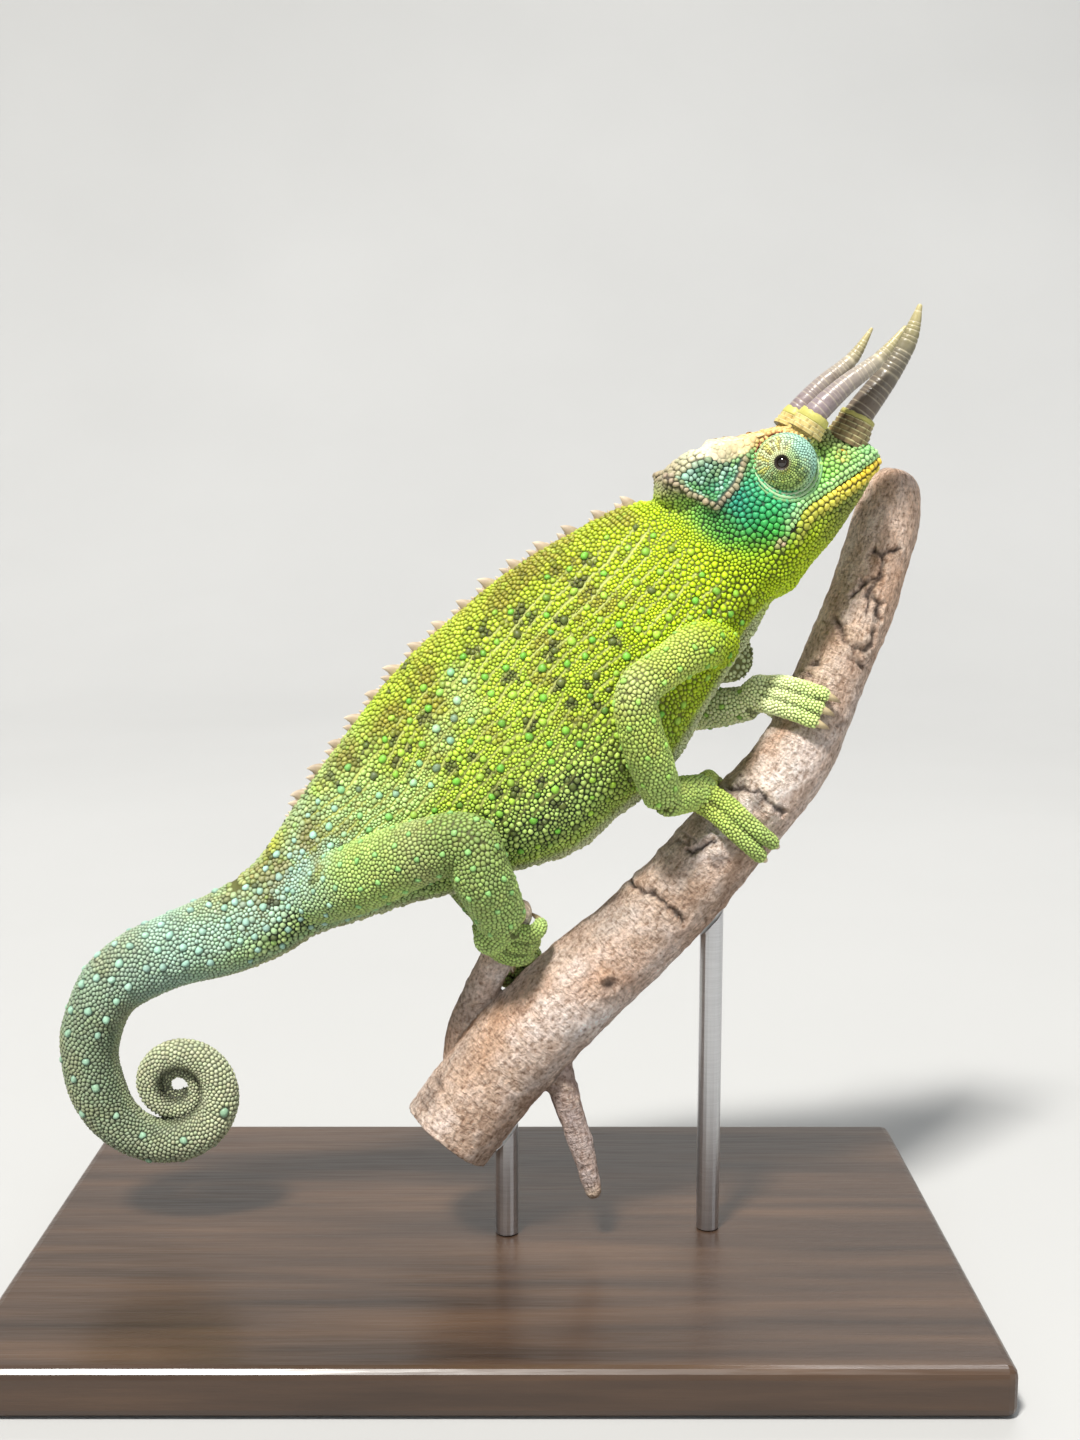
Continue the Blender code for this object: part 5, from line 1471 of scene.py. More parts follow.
def make_skin_and_coat():
    forms, claws = make_forms()
    body = forms[0]
    body.nape = float(body.along[NAPE_RINGS // 2])
    vent = body_rings([VENT_ROW], BODY_SIDES, 0)[0].mean(0)
    vent_ring = int(np.argmin(np.linalg.norm(body.grid.mean(1) - vent, axis=1)))
    body.vent = float(body.along[vent_ring])
    skin = Skin(forms)
    places = Places(skin.points, forms)
    _, under, _ = colours(places, forms)
    skin_surface = marked_material("skin", 0.62, 0.0001, 2600.0)
    piece = new_piece("skin", skin.points, skin.faces, skin_surface, under)
    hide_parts(*[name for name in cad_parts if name.startswith((
        "head", "lower_jaw", "neck", "torso", "tail_", "foreleg", "hindleg", "foot"))])
    points, sizes, kinds, firm = grow_roots(skin, forms, places)
    eye = np.minimum(*[
        np.linalg.norm(points - to_world([(EYE_CENTRE[0], EYE_OUT * side, EYE_CENTRE[1])]), axis=1)
        for side in (-1, 1)])
    in_sheath = np.zeros(len(points), bool)
    for rows in sheath_rows().values():
        start, end = np.array(rows[0][:3]), np.array(rows[1][:3])
        part = ((points - start) @ (end - start)) / ((end - start) ** 2).sum()
        away = np.linalg.norm(points - start - part[:, None] * (end - start), axis=1)
        in_sheath |= (away < rows[0][3] + 0.35) & (part > 0.3)
    keep = (eye > TURRET_RADIUS) & ~in_sheath
    points, sizes, kinds, firm = points[keep], sizes[keep], kinds[keep], firm[keep]
    points, normals = relaxed(skin, points, sizes, firm)
    keep = crowded_out(points, sizes, kinds)
    near = Places(points, forms)
    on_fold = creases(points, near.along / body.vent, near.low) > 0.85
    keep &= ~(on_fold & (near.form == BODY) & (near.along < body.vent) & (kinds == PLAIN))
    points, normals, sizes, kinds = points[keep], normals[keep], sizes[keep], kinds[keep]
    roots = Places(points, forms)
    ahead = unit(roots.ahead - normals * (roots.ahead * normals).sum(1, keepdims=True))
    beside = np.cross(normals, ahead)
    colour, under, knob = colours(roots, forms)
    is_knob = kinds == KNOB
    temple = (roots.form == HEAD) & (DRAW.random(len(points)) < 0.4)
    colour = np.where((is_knob | temple)[:, None], knob, colour)
    spread = np.where((roots.form == HEAD) & (in_band(roots.head[:, [0, 2]]) > 0.5), 0.06, 0.17)[:, None]
    colour = colour * (1 + spread * DRAW.uniform(-1, 1, (len(points), 1)))
    colour = colour * DRAW.uniform(0.96, 1.04, (len(points), 3))
    rectangles = pack_sheet(forms)
    uv = roots.uv(forms, rectangles)
    form_kind = flesh_kinds(forms, roots)
    form_kind[(roots.form == BODY) & (roots.along < body.nape + 1.5)] = ON_HEAD
    level = np.where(is_knob | (form_kind == ON_HEAD), "middle", "fine")
    level[(form_kind != ON_HEAD) & (sizes > 0.85)] = "middle"
    level[(form_kind == ON_HEAD) & (sizes > 1.0)] = "large"
    level[is_knob & (form_kind != ON_BODY)] = "large"
    height = sizes * np.select(
        [is_knob, kinds == RIDGE, kinds == LIP, form_kind == ON_HEAD, form_kind == ON_LIMB],
        [0.42, 0.38, 0.34, 0.4, 0.36], 0.4) * DRAW.uniform(0.85, 1.15, len(sizes))
    band = in_band(roots.head[:, [0, 2]]) * (1 - rise(-roots.head[:, 0], 22, 23.5))
    height = np.where(form_kind == ON_HEAD, height * (1 - 0.86 * band), height)
    lean = np.where(form_kind == ON_HEAD, 0.0, 0.25)
    surface = marked_material("scales", 0.44, 0.00004, 3400.0, (0.9, 1.1), 0.08)
    reaches = {kind: outlines(points, sizes, ahead, beside, PROFILES[kind][0]) for kind in PROFILES}
    flank = np.where((roots.form == BODY) & (roots.along < body.vent) & ~is_knob)[0]
    for kind, reach in reaches.items():
        angle = 2 * np.pi * np.arange(reach.shape[1]) / reach.shape[1]
        for number, turn in enumerate(angle):
            out = ahead[flank] * math.cos(turn) + beside[flank] * math.sin(turn)
            corner = points[flank] + out * reach[flank, number, None]
            fold = creases(corner, roots.along[flank] / body.vent, roots.low[flank])
            reach[flank, number] *= 1 - 0.42 * fold - 0.1 * hill(roots.low[flank] - 0.78, 0.16)
    side = np.where(points[:, 1] < 0, "right", "left")
    region = np.select(
        [form_kind == ON_HEAD, form_kind == ON_LIMB, roots.along > body.vent * 1.02],
        ["head", "limbs", "tail"], "trunk")
    for name, slot in (("head", "skin_head"), ("limbs", "skin_green"), ("tail", "skin_tail"),
                       ("trunk", "skin_green")):
        for hand in ("right", "left"):
            mine = (region == name) & (side == hand)
            meshes = []
            for kind in PROFILES:
                own = np.where(mine & (level == kind))[0]
                if len(own):
                    mesh = domes(points[own], normals[own], ahead[own], beside[own], reaches[kind][own],
                                 height[own], kind, colour[own], under[own], uv[own], lean[own])
                    meshes.append((len(own), mesh))
            write_coat(f"coat_{name}_{hand}", surface, meshes)
    return skin, claws


def write_coat(name, surface, meshes):
    """Makes the scales of one region into pieces, none with many more triangles than MOST_TRIANGLES."""
    total = sum(len(mesh[1]) for _, mesh in meshes)
    pieces = max(1, math.ceil(total / MOST_TRIANGLES))
    for number in range(pieces):
        spots, faces, shades, maps, first = [], [], [], [], 0
        for count, (spot, face, shade, place) in meshes:
            size, each = len(spot) // count, len(face) // count
            low, high = count * number // pieces, count * (number + 1) // pieces
            spots.append(spot[low * size:high * size])
            shades.append(shade[low * size:high * size])
            maps.append(place[low * size:high * size])
            faces.append(face[low * each:high * each] - low * size + first)
            first += (high - low) * size
        new_piece(f"{name}_{number + 1}", np.concatenate(spots), np.concatenate(faces), surface,
                  np.concatenate(shades), np.concatenate(maps))


# Eyes, horns, claws and spines

def gaze_frame(side):
    """The turret's centre, the way it looks and two directions across."""
    centre = to_world([(EYE_CENTRE[0], EYE_OUT * side, EYE_CENTRE[1])])[0]
    gaze = unit(HEAD_TURN @ np.array([GAZE[0], GAZE[1] * side, GAZE[2]]))
    across = unit(np.cross(gaze, HEAD_TURN @ np.array([0.0, 0.0, 1.0]))) * side
    return centre, gaze, across, np.cross(gaze, across)


def turret_colours(polar, bearing, points):
    """Pale mint, yellow rays and brown streaks above the opening, dark spots below."""
    patch = noise(points, 1.3, 41)
    spots = noise(points, 0.55, 43)
    rays = 0.5 + 0.5 * np.cos(bearing * 11 + patch * 1.6)
    right, high = np.cos(bearing), np.sin(bearing)
    upper = rise(high - 0.4 * right, -0.1, 0.5) * rise(polar, 0.36, 0.5) * (1 - rise(polar, 0.95, 1.3))
    streak = rise(0.5 + 0.5 * np.cos(bearing * 17 + patch * 2.4) + 0.3 * spots, 0.75, 1.0)
    yellow = rise(noise(points, 0.8, 44), 0.3, 0.6)
    colour = painted(
        np.broadcast_to(srgb(178, 206, 146), points.shape),
        ((160, 208, 184), rise(right, -0.1, 0.8) * rise(polar, 0.4, 0.8)),
        ((226, 230, 176), rise(high, 0.1, 0.9) * (1 - rise(polar, 0.9, 1.5)) * 0.8),
        ((166, 190, 96), rise(-high, 0.1, 0.8) * (1 - rise(polar, 0.9, 1.3)) * 0.8),
        ((222, 210, 84), rise(rays, 0.5, 0.85) * upper * 0.65), ((112, 84, 44), streak * upper * 0.75),
        ((58, 88, 52), rise(spots, 0.1, 0.35) * rise(-high, -0.2, 0.4) * (1 - rise(polar, 1.1, 1.4)) * 0.7),
        ((206, 208, 84), yellow * rise(-high, 0.0, 0.5) * (1 - rise(polar, 0.8, 1.1)) * 0.7),
        ((128, 116, 84), 1 - rise(polar, 0.26, 0.32)), ((120, 170, 130), rise(polar, 1.2, 1.6) * 0.7),
        ((170, 214, 198), rise(right, 0.3, 0.9) * rise(polar, 0.5, 0.9) * 0.5))
    return colour * (1 + 0.1 * noise(points, 0.7, 42))[:, None]


def make_eyes():
    surface = marked_material("turret", 0.46, 0.00004, 3600.0, (0.9, 1.1), 0.08)
    dark = eye_material()
    for side, name in ((-1, "right"), (1, "left")):
        centre, gaze, across, up = gaze_frame(side)
        polar = np.concatenate([[0.12, 0.16, 0.2], np.linspace(TURRET_OPENING, 2.3, 110)])
        bearing = np.linspace(0, 2 * np.pi, 110, endpoint=False)
        radius = TURRET_RADIUS + 0.07 * np.sin((polar - TURRET_OPENING) * 17) * rise(polar, 0.4, 0.55)
        radius += 0.16 * hill(polar - 0.28, 0.05)
        radius[:3] = (4.1, 4.35, 4.6)
        sin, cos = np.sin(polar), np.cos(polar)
        out = cos[:, None, None] * gaze + sin[:, None, None] * circle(bearing, across, up)[None]
        grid = centre + out * radius[:, None, None]
        flat_polar = np.repeat(polar, len(bearing))
        flat_bearing = np.tile(bearing, len(polar))
        # Painted shade in the gaps: the turret under its scales is far darker than the scales.
        shade = turret_colours(flat_polar, flat_bearing, grid.reshape(-1, 3)) * 0.35
        shade = np.where((flat_polar < TURRET_OPENING + 0.03)[:, None], srgb(46, 36, 28), shade)
        piece = new_piece(f"turret_{name}", grid.reshape(-1, 3), quads_of(len(polar), len(bearing)), surface,
                          shade)
        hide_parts(f"eye_turret_{name}")
        spots, place, row = [], TURRET_OPENING + 0.055, 0
        while place < 1.95:
            size = float(np.interp(place, [0.3, 0.7, 1.2, 2.0], [0.34, 0.5, 0.62, 0.7]))
            count = max(12, round(2 * np.pi * TURRET_REACH * math.sin(place) / size))
            angle = (np.arange(count) + 0.5 * (row % 2) + DRAW.normal(0, 0.08, count)) / count * 2 * np.pi
            uneven = place + DRAW.normal(0, 0.06, count) * size / TURRET_REACH
            spots.append(np.stack([uneven, angle % (2 * np.pi), np.full(count, size)], 1))
            place += size * 0.9 / TURRET_REACH
            row += 1
        polars, bearings, sizes = np.concatenate(spots).T
        outward = np.cos(polars)[:, None] * gaze + np.sin(polars)[:, None] * circle(bearings, across, up)
        roots = centre + outward * np.interp(polars, polar, radius)[:, None]
        ring = unit(np.cross(gaze, outward))
        away = np.cross(ring, outward)
        colour = turret_colours(polars, bearings, roots) * DRAW.uniform(0.9, 1.12, (len(roots), 1))
        reach = outlines(roots, sizes, ring, away, 7, 1.2)
        sheet = 0.5 + 0.2 * polars[:, None] * np.stack([np.cos(bearings), np.sin(bearings)], 1)
        # The dark edge colour of the domes is painted shade at the scales' bases.
        spot, face, shades, maps = domes(roots, outward, ring, away, reach, sizes * 0.34, "fine", colour,
                                         colour * 0.3, sheet, np.zeros(len(roots)))
        new_piece(f"turret_scales_{name}", spot, face, surface, shades, maps)
        ball = [centre + gaze * EYEBALL_OUT + (
            gaze * math.cos(angle) + math.sin(angle) * circle(bearing, across, up)) * EYEBALL_RADIUS
            for angle in np.linspace(0.06, 1.5, 26)]
        spot, face = closed_grid(np.array(ball))
        eyeball = new_piece(f"eye_{name}", spot, face, dark)
        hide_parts(f"eyeball_{name}")


def make_folds(skin):
    """The folds of the lid round each turret, with a thin red line under the brow."""
    surface = marked_material("lid_fold", 0.5, 0.00006, 3000.0, (0.82, 1.12), 0.08)
    parts, shades = [], []
    for side in (-1, 1):
        for radius, size, low, high, tone in (
                (4.75, 0.26, 150, 395, srgb(184, 208, 168)), (5.28, 0.28, 145, 372, srgb(166, 198, 150)),
                (5.82, 0.25, 165, 345, srgb(130, 176, 118)), (4.95, 0.14, 30, 150, srgb(146, 78, 54))):
            angle = np.radians(np.linspace(low, high, 120))
            flat = np.stack([EYE_CENTRE[0] + radius * np.cos(angle),
                             EYE_CENTRE[1] + radius * np.sin(angle)], 1)
            spots = place_on_side(skin, flat, side)
            if len(spots) < len(angle):
                continue
            fade = np.clip(np.minimum(np.arange(120), 119 - np.arange(120)) / 22, 0.12, 1) ** 0.6
            wobble = 1 + 0.12 * noise(spots, 1.2, 81)
            lift = HEAD_TURN @ np.array([0, side, 0]) * 0.12
            for _ in range(3):
                spots[1:-1] = (spots[:-2] + spots[1:-1] * 2 + spots[2:]) / 4
            grid = tube(np.concatenate([spots + lift, (size * fade * wobble)[:, None]], 1), 150, 10)
            points, faces = closed_grid(grid)
            grain = noise(points, 0.45, 82) + 0.5 * noise(points, 1.5, 83)
            shades.append(tone * (1 + 0.16 * grain)[:, None])
            parts.append((points, faces))
    joined_piece("lid_folds", parts, shades, surface)


def make_nostrils(skin):
    surface = marked_material("nostril", 0.45, 0.00004, 3200.0, (0.84, 1.12), 0.08)
    parts, shades = [], []
    for side in (-1, 1):
        spot = place_on_side(skin, np.array([NOSTRIL]), side)
        spot, out = skin.nearest(spot)
        spot, out = spot[0], out[0]
        across = unit(np.cross(out, [0.0, 0.0, 1.0]))
        above = np.cross(out, across)
        bearing = np.linspace(0, 2 * np.pi, 33)[:-1]
        ring = np.cos(bearing)[:, None] * across * 1.15 + np.sin(bearing)[:, None] * above * 0.85
        grid = np.array([spot + out * high + wide * ring for wide, high in (
            (1.05, -0.05), (0.95, 0.22), (0.8, 0.36), (0.62, 0.36), (0.48, 0.2), (0.4, -0.1), (0.2, -0.3))])
        points, faces = closed_grid(grid)
        away = np.linalg.norm(points - spot, axis=1)
        # The near-black centre is painted shade inside the opening.
        shades.append(ramp(away, [(0.35, srgb(20, 14, 10)), (0.5, srgb(110, 80, 34)),
                                  (0.75, srgb(214, 164, 52)), (1.1, srgb(168, 176, 84))]))
        parts.append((points, faces))
    joined_piece("nostrils", parts, shades, surface)


def make_sheaths():
    """Cups of banded plates with a smooth ring on top, one at the root of each horn."""
    surface = marked_material("sheath", 0.45, 0.00005, 2600.0, (0.84, 1.12), 0.08)
    parts, shades = [], []
    for name, rows in sheath_rows().items():
        nose = name == "rostral"
        bands, plates, top = (5, 11, 0.80) if nose else (3, 9, 0.55)
        start, end = np.array(rows[0]), np.array(rows[1])
        line = [tuple(start + (end - start) * part) for part in np.linspace(0.25, 1.0, 5)]
        samples, sides = 96, 96
        grid = tube(line, samples, sides, 0.0, False, False)
        part = np.linspace(0, 1, samples)[:, None]
        angle = np.arange(sides)[None] / sides
        wave = noise(grid.reshape(-1, 3), 1.8, 84).reshape(samples, sides)
        place = np.minimum(part / top, 0.9999) * bands + 0.10 * wave
        band, share = np.floor(place), place - np.floor(place)
        across = (angle * plates + 0.5 * (band % 2)) % 1
        seam = hill(np.minimum(across, 1 - across), 0.07) * (part < top)
        raised = 0.06 + 0.24 * share ** 1.5 * (part < top) - 0.18 * seam
        raised = raised - 0.06 * hill(1 - share, 0.06) * (part < top)
        crown = rise(part, top, top + 0.05) * (0.16 + 0.12 * np.sin(np.pi * (part - top) / (1 - top)))
        flare = (0.75 if nose else 0.35) * (1 - part) ** 1.6
        raised = raised * (1 - rise(part, top, top + 0.03)) + crown
        raised = raised + flare + 0.12 * wave - 0.7 * rise(part, 0.975, 1.0)
        grid = grid + unit(grid - grid.mean(1, keepdims=True)) * raised[..., None]
        bearing = angle[0] * 2 * np.pi
        edge = noise(np.stack([np.cos(bearing), np.sin(bearing), 0 * bearing], 1) * 2.4, 1.1, 85)
        drop = (0.3 + 0.5 * edge)[None, :, None] * rise(part, top - 0.1, 1.0)[..., None]
        grid = grid - unit(end[:3] - start[:3]) * drop * (0.9 if nose else 1.1)
        pale, dull = ((150, 132, 92), (112, 92, 66)) if nose else ((220, 200, 132), (200, 172, 108))
        plate = mix(np.broadcast_to(srgb(*pale), grid.shape), srgb(*dull), rise(wave, -0.2, 0.5))
        seam = seam if nose else seam * 0.6
        tone = mix(plate, srgb(208, 202, 150), rise(share, 0.7, 0.95) * 0.85)
        tone = mix(tone, srgb(84, 70, 44), np.maximum(seam, hill(share, 0.08)) * 0.7)
        ring = srgb(176, 170, 98) if nose else srgb(196, 190, 104)
        tone = mix(tone, ring * (1 + 0.12 * wave)[..., None], rise(part, top, top + 0.03))
        points, faces = closed_grid(grid)
        tone = tone.reshape(-1, 3)
        shades.append(np.concatenate([tone, tone[:1], tone[-1:]]))
        parts.append((points, faces))
    joined_piece("horn_sheaths", parts, shades, surface)


def ringed(rows, samples, sides, rings, depth, tones):
    """A horn: rings that stand out most towards the tip, and the colour of each point."""
    places = np.linspace(0, len(rows) - 1, samples)
    row = rows_at(rows, places)
    run = np.concatenate([[0], np.cumsum(np.linalg.norm(np.diff(row[:, :3], axis=0), axis=1))])
    part = run / run[-1]
    phase = part * rings + 0.35 * np.sin(part * 23) + 0.2 * np.sin(part * 51)
    wave = phase % 1
    groove = hill(np.minimum(wave, 1 - wave), 0.085)
    fade = 0.3 + 0.8 * hill(part - 0.75, 0.2)
    row[:, 3] *= 1 + depth * (0.5 * np.sin(np.pi * wave) - groove * 0.9) * fade
    grid = tube(row, samples, sides, 0, False, True)
    part = np.concatenate([part, np.full(len(grid) - samples, 1.0)])
    groove = np.concatenate([groove, np.zeros(len(grid) - samples)])
    points = grid.reshape(-1, 3)
    part, groove = np.repeat(part, sides), np.repeat(groove, sides)
    patch = noise(points, 2.2, 51) + 0.5 * noise(points, 0.6, 52)
    colour = ramp(part, list(zip((0, 0.3, 0.62, 0.82, 1), tones)))
    colour = mix(colour, srgb(96, 80, 74), rise(patch, 0.1, 0.9) * 0.45 * (1 - rise(part, 0.7, 0.95)))
    colour = mix(colour, srgb(222, 210, 180), groove * (0.35 + 0.4 * rise(part, 0.45, 0.8)))
    points, faces = closed_grid(grid)
    colour = np.concatenate([colour, colour[:1], colour[-1:]])
    return points, faces, colour


def make_horns():
    surface = marked_material("horn", 0.3, 0.00005, 1500.0, (0.82, 1.14), 0.1)
    last = len(ORBITAL_HORN) - 1
    left = [(u + LEFT_HORN_LIFT[0] * (step / last) ** 1.5, w, v + LEFT_HORN_LIFT[1] * (step / last) ** 1.5, r)
            for step, (u, w, v, r) in enumerate(ORBITAL_HORN)]
    brown, lilac = ([srgb(*tone) for tone in tones] for tones in (
        ((112, 98, 84), (106, 96, 86), (118, 112, 96), (150, 142, 104), (190, 178, 130)),
        ((142, 126, 132), (146, 134, 130), (164, 154, 138), (168, 158, 116), (190, 178, 128))))
    horns = {
        "rostral": (ROSTRAL_HORN, 21, brown), "orbital_left": (left, 22, lilac),
        "orbital_right": ([(u, -w, v, r) for u, w, v, r in ORBITAL_HORN], 22, lilac),
    }
    for name, (rows, rings, tones) in horns.items():
        rows = [(*to_world(row[:3]), row[3] - 0.05) for row in rows]
        points, faces, colour = ringed(rows, 300, 48, rings, 0.06, tones)
        piece = new_piece(f"keratin_{name}", points, faces, surface, colour)
        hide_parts(f"horn_{name}")


def make_claws(claws):
    surface = marked_material("claw", 0.28, 0.00003, 1800.0, (0.88, 1.12), 0.08)
    parts, shades = [], []
    for root, tip, ahead in claws:
        length = np.linalg.norm(tip - root)
        bend = root + ahead * length * 0.55
        line, part = bent_line(root, bend, tip, 9)
        sizes = 0.82 * (1 - part) ** 0.75 + 0.07
        grid = tube(np.concatenate([line, sizes[:, None]], 1), 24, 14, 0, True, True)
        points, faces = closed_grid(grid)
        away = np.linalg.norm(points - root, axis=1) / length
        shades.append(ramp(away, [(0, srgb(150, 128, 92)), (0.45, srgb(196, 178, 138)),
                                  (1.0, srgb(120, 96, 70))]))
        parts.append((points, faces))
    joined_piece("claws", parts, shades, surface)


def make_spines():
    """The crest of spines along the back, those of the solids and finer ones between them."""
    draw = random.Random(SPINE_SEED)
    surface = marked_material("spine", 0.5, 0.00005, 2400.0, (0.86, 1.12), 0.08)
    parts, shades = [], []
    def add(place, height, lean, sideways, width):
        (back, ahead), (belly, _), _ = body_edges(np.array([place, place + 0.1]))
        to_tail = unit(ahead - back)
        out = unit(back - belly)
        out = unit(out - to_tail * (out @ to_tail))
        direction = out * math.cos(lean) + to_tail * math.sin(lean) + np.array([0, 1, 0]) * sideways
        root, tip = back - out * 1.0, back + direction * height
        bend = root + out * (np.linalg.norm(tip - root) * 0.5)
        line, part = bent_line(root, bend, tip, 8)
        sizes = width * (1 - part) ** 0.8 + 0.1
        grid = tube(np.concatenate([line, sizes[:, None]], 1), 18, 14, 0, False, True)
        middle = grid.mean(1, keepdims=True)
        grid = middle + (grid - middle) * np.array([1, 0.62, 1])
        points, faces = closed_grid(grid)
        away = np.linalg.norm(points - root, axis=1) / np.linalg.norm(tip - root)
        tone = ramp(away, [(0, srgb(150, 156, 58)), (0.35, srgb(164, 152, 104)), (0.6, srgb(172, 152, 128)),
                           (1.0, srgb(208, 192, 168))])
        shades.append(tone * draw.uniform(0.85, 1.1))
        parts.append((points, faces))
    extra = np.random.default_rng(5)
    for start, end in ((0.55, 1.4), (1.95, 10.6)):
        place, number = start, 0
        while place < end:
            step = np.linalg.norm(body_edges(np.array([place + 0.1]))[0]
                                  - body_edges(np.array([place]))[0]) / 0.1
            height = SPINE_HEIGHTS[number % 2] * draw.uniform(0.85, 1.15)
            lean = math.radians(SPINE_LEAN + draw.uniform(-6, 6))
            sideways = draw.uniform(-0.08, 0.08)
            width = (1.5, 1.05)[number % 2]
            near = place - 0.9 / step if number % 2 else place
            add(near, height * (0.82, 0.9)[number % 2], lean, sideways, width)
            for share in (0.36, 0.62):
                add(place + SPINE_SPACING / 2 * share / step, extra.uniform(0.25, 0.6), 0.4,
                    extra.uniform(-0.25, 0.25), 0.62)
            place += SPINE_SPACING / 2 / step
            number += 1
    joined_piece("crest_spines", parts, shades, surface)


# Branch and stand

def bark_material():
    """Pits, wrinkles, paler and darker patches and pale flecks over the colours of the mesh."""
    made, tree, shader = nodes_for("bark", 0.72)
    last = node(tree, "ShaderNodeVertexColor", layer_name="Col").outputs["Color"]
    grain = node(tree, "ShaderNodeAttribute", attribute_name="grain").outputs["Vector"]
    pits, wrinkles, fine, patches = [
        noise_output(tree, scale, detail, stretch, grain, Roughness=0.62) for stretch, scale, detail in (
            ((0.7, 1.0, 1.0), 1.7, 6.0), ((1.0, 0.3, 0.3), 1.5, 5.0), ((0.7, 1.0, 1.0), 3.4, 4.0),
            ((0.5, 1.0, 1.0), 0.26, 4.0))]
    for layer, stops in (
            (pits, [(0.3, (0.36, 0.28, 0.22)), (0.43, (0.78, 0.72, 0.67)), (0.54, (1.04, 1.03, 1.02)),
                    (0.68, (1.34, 1.33, 1.3))]),
            (wrinkles, [(0.3, (0.62, 0.56, 0.52)), (0.42, (0.97, 0.96, 0.95)), (0.7, (1.08, 1.07, 1.06))]),
            (patches, [(0.34, (0.8, 0.71, 0.64)), (0.46, (1.0, 0.95, 0.91)), (0.56, (1.0, 1.0, 1.0)),
                       (0.68, (1.06, 1.08, 1.12))])):
        last = product_output(tree, last, ramp_output(tree, layer, stops))
    fleck = ramp_output(tree, fine, [(0.66, (0, 0, 0)), (0.7, (1, 1, 1))])
    blend = node(tree, "ShaderNodeMix", data_type="RGBA")
    tree.links.new(fleck, blend.inputs["Factor"])
    tree.links.new(last, blend.inputs[6])
    blend.inputs[7].default_value = (0.62, 0.56, 0.48, 1)
    tree.links.new(blend.outputs[2], shader.inputs["Base Color"])
    total = node(tree, "ShaderNodeMath", {0: pits, 1: wrinkles})
    add_bump(tree, shader, total.outputs["Value"], 0.0012)
    return made


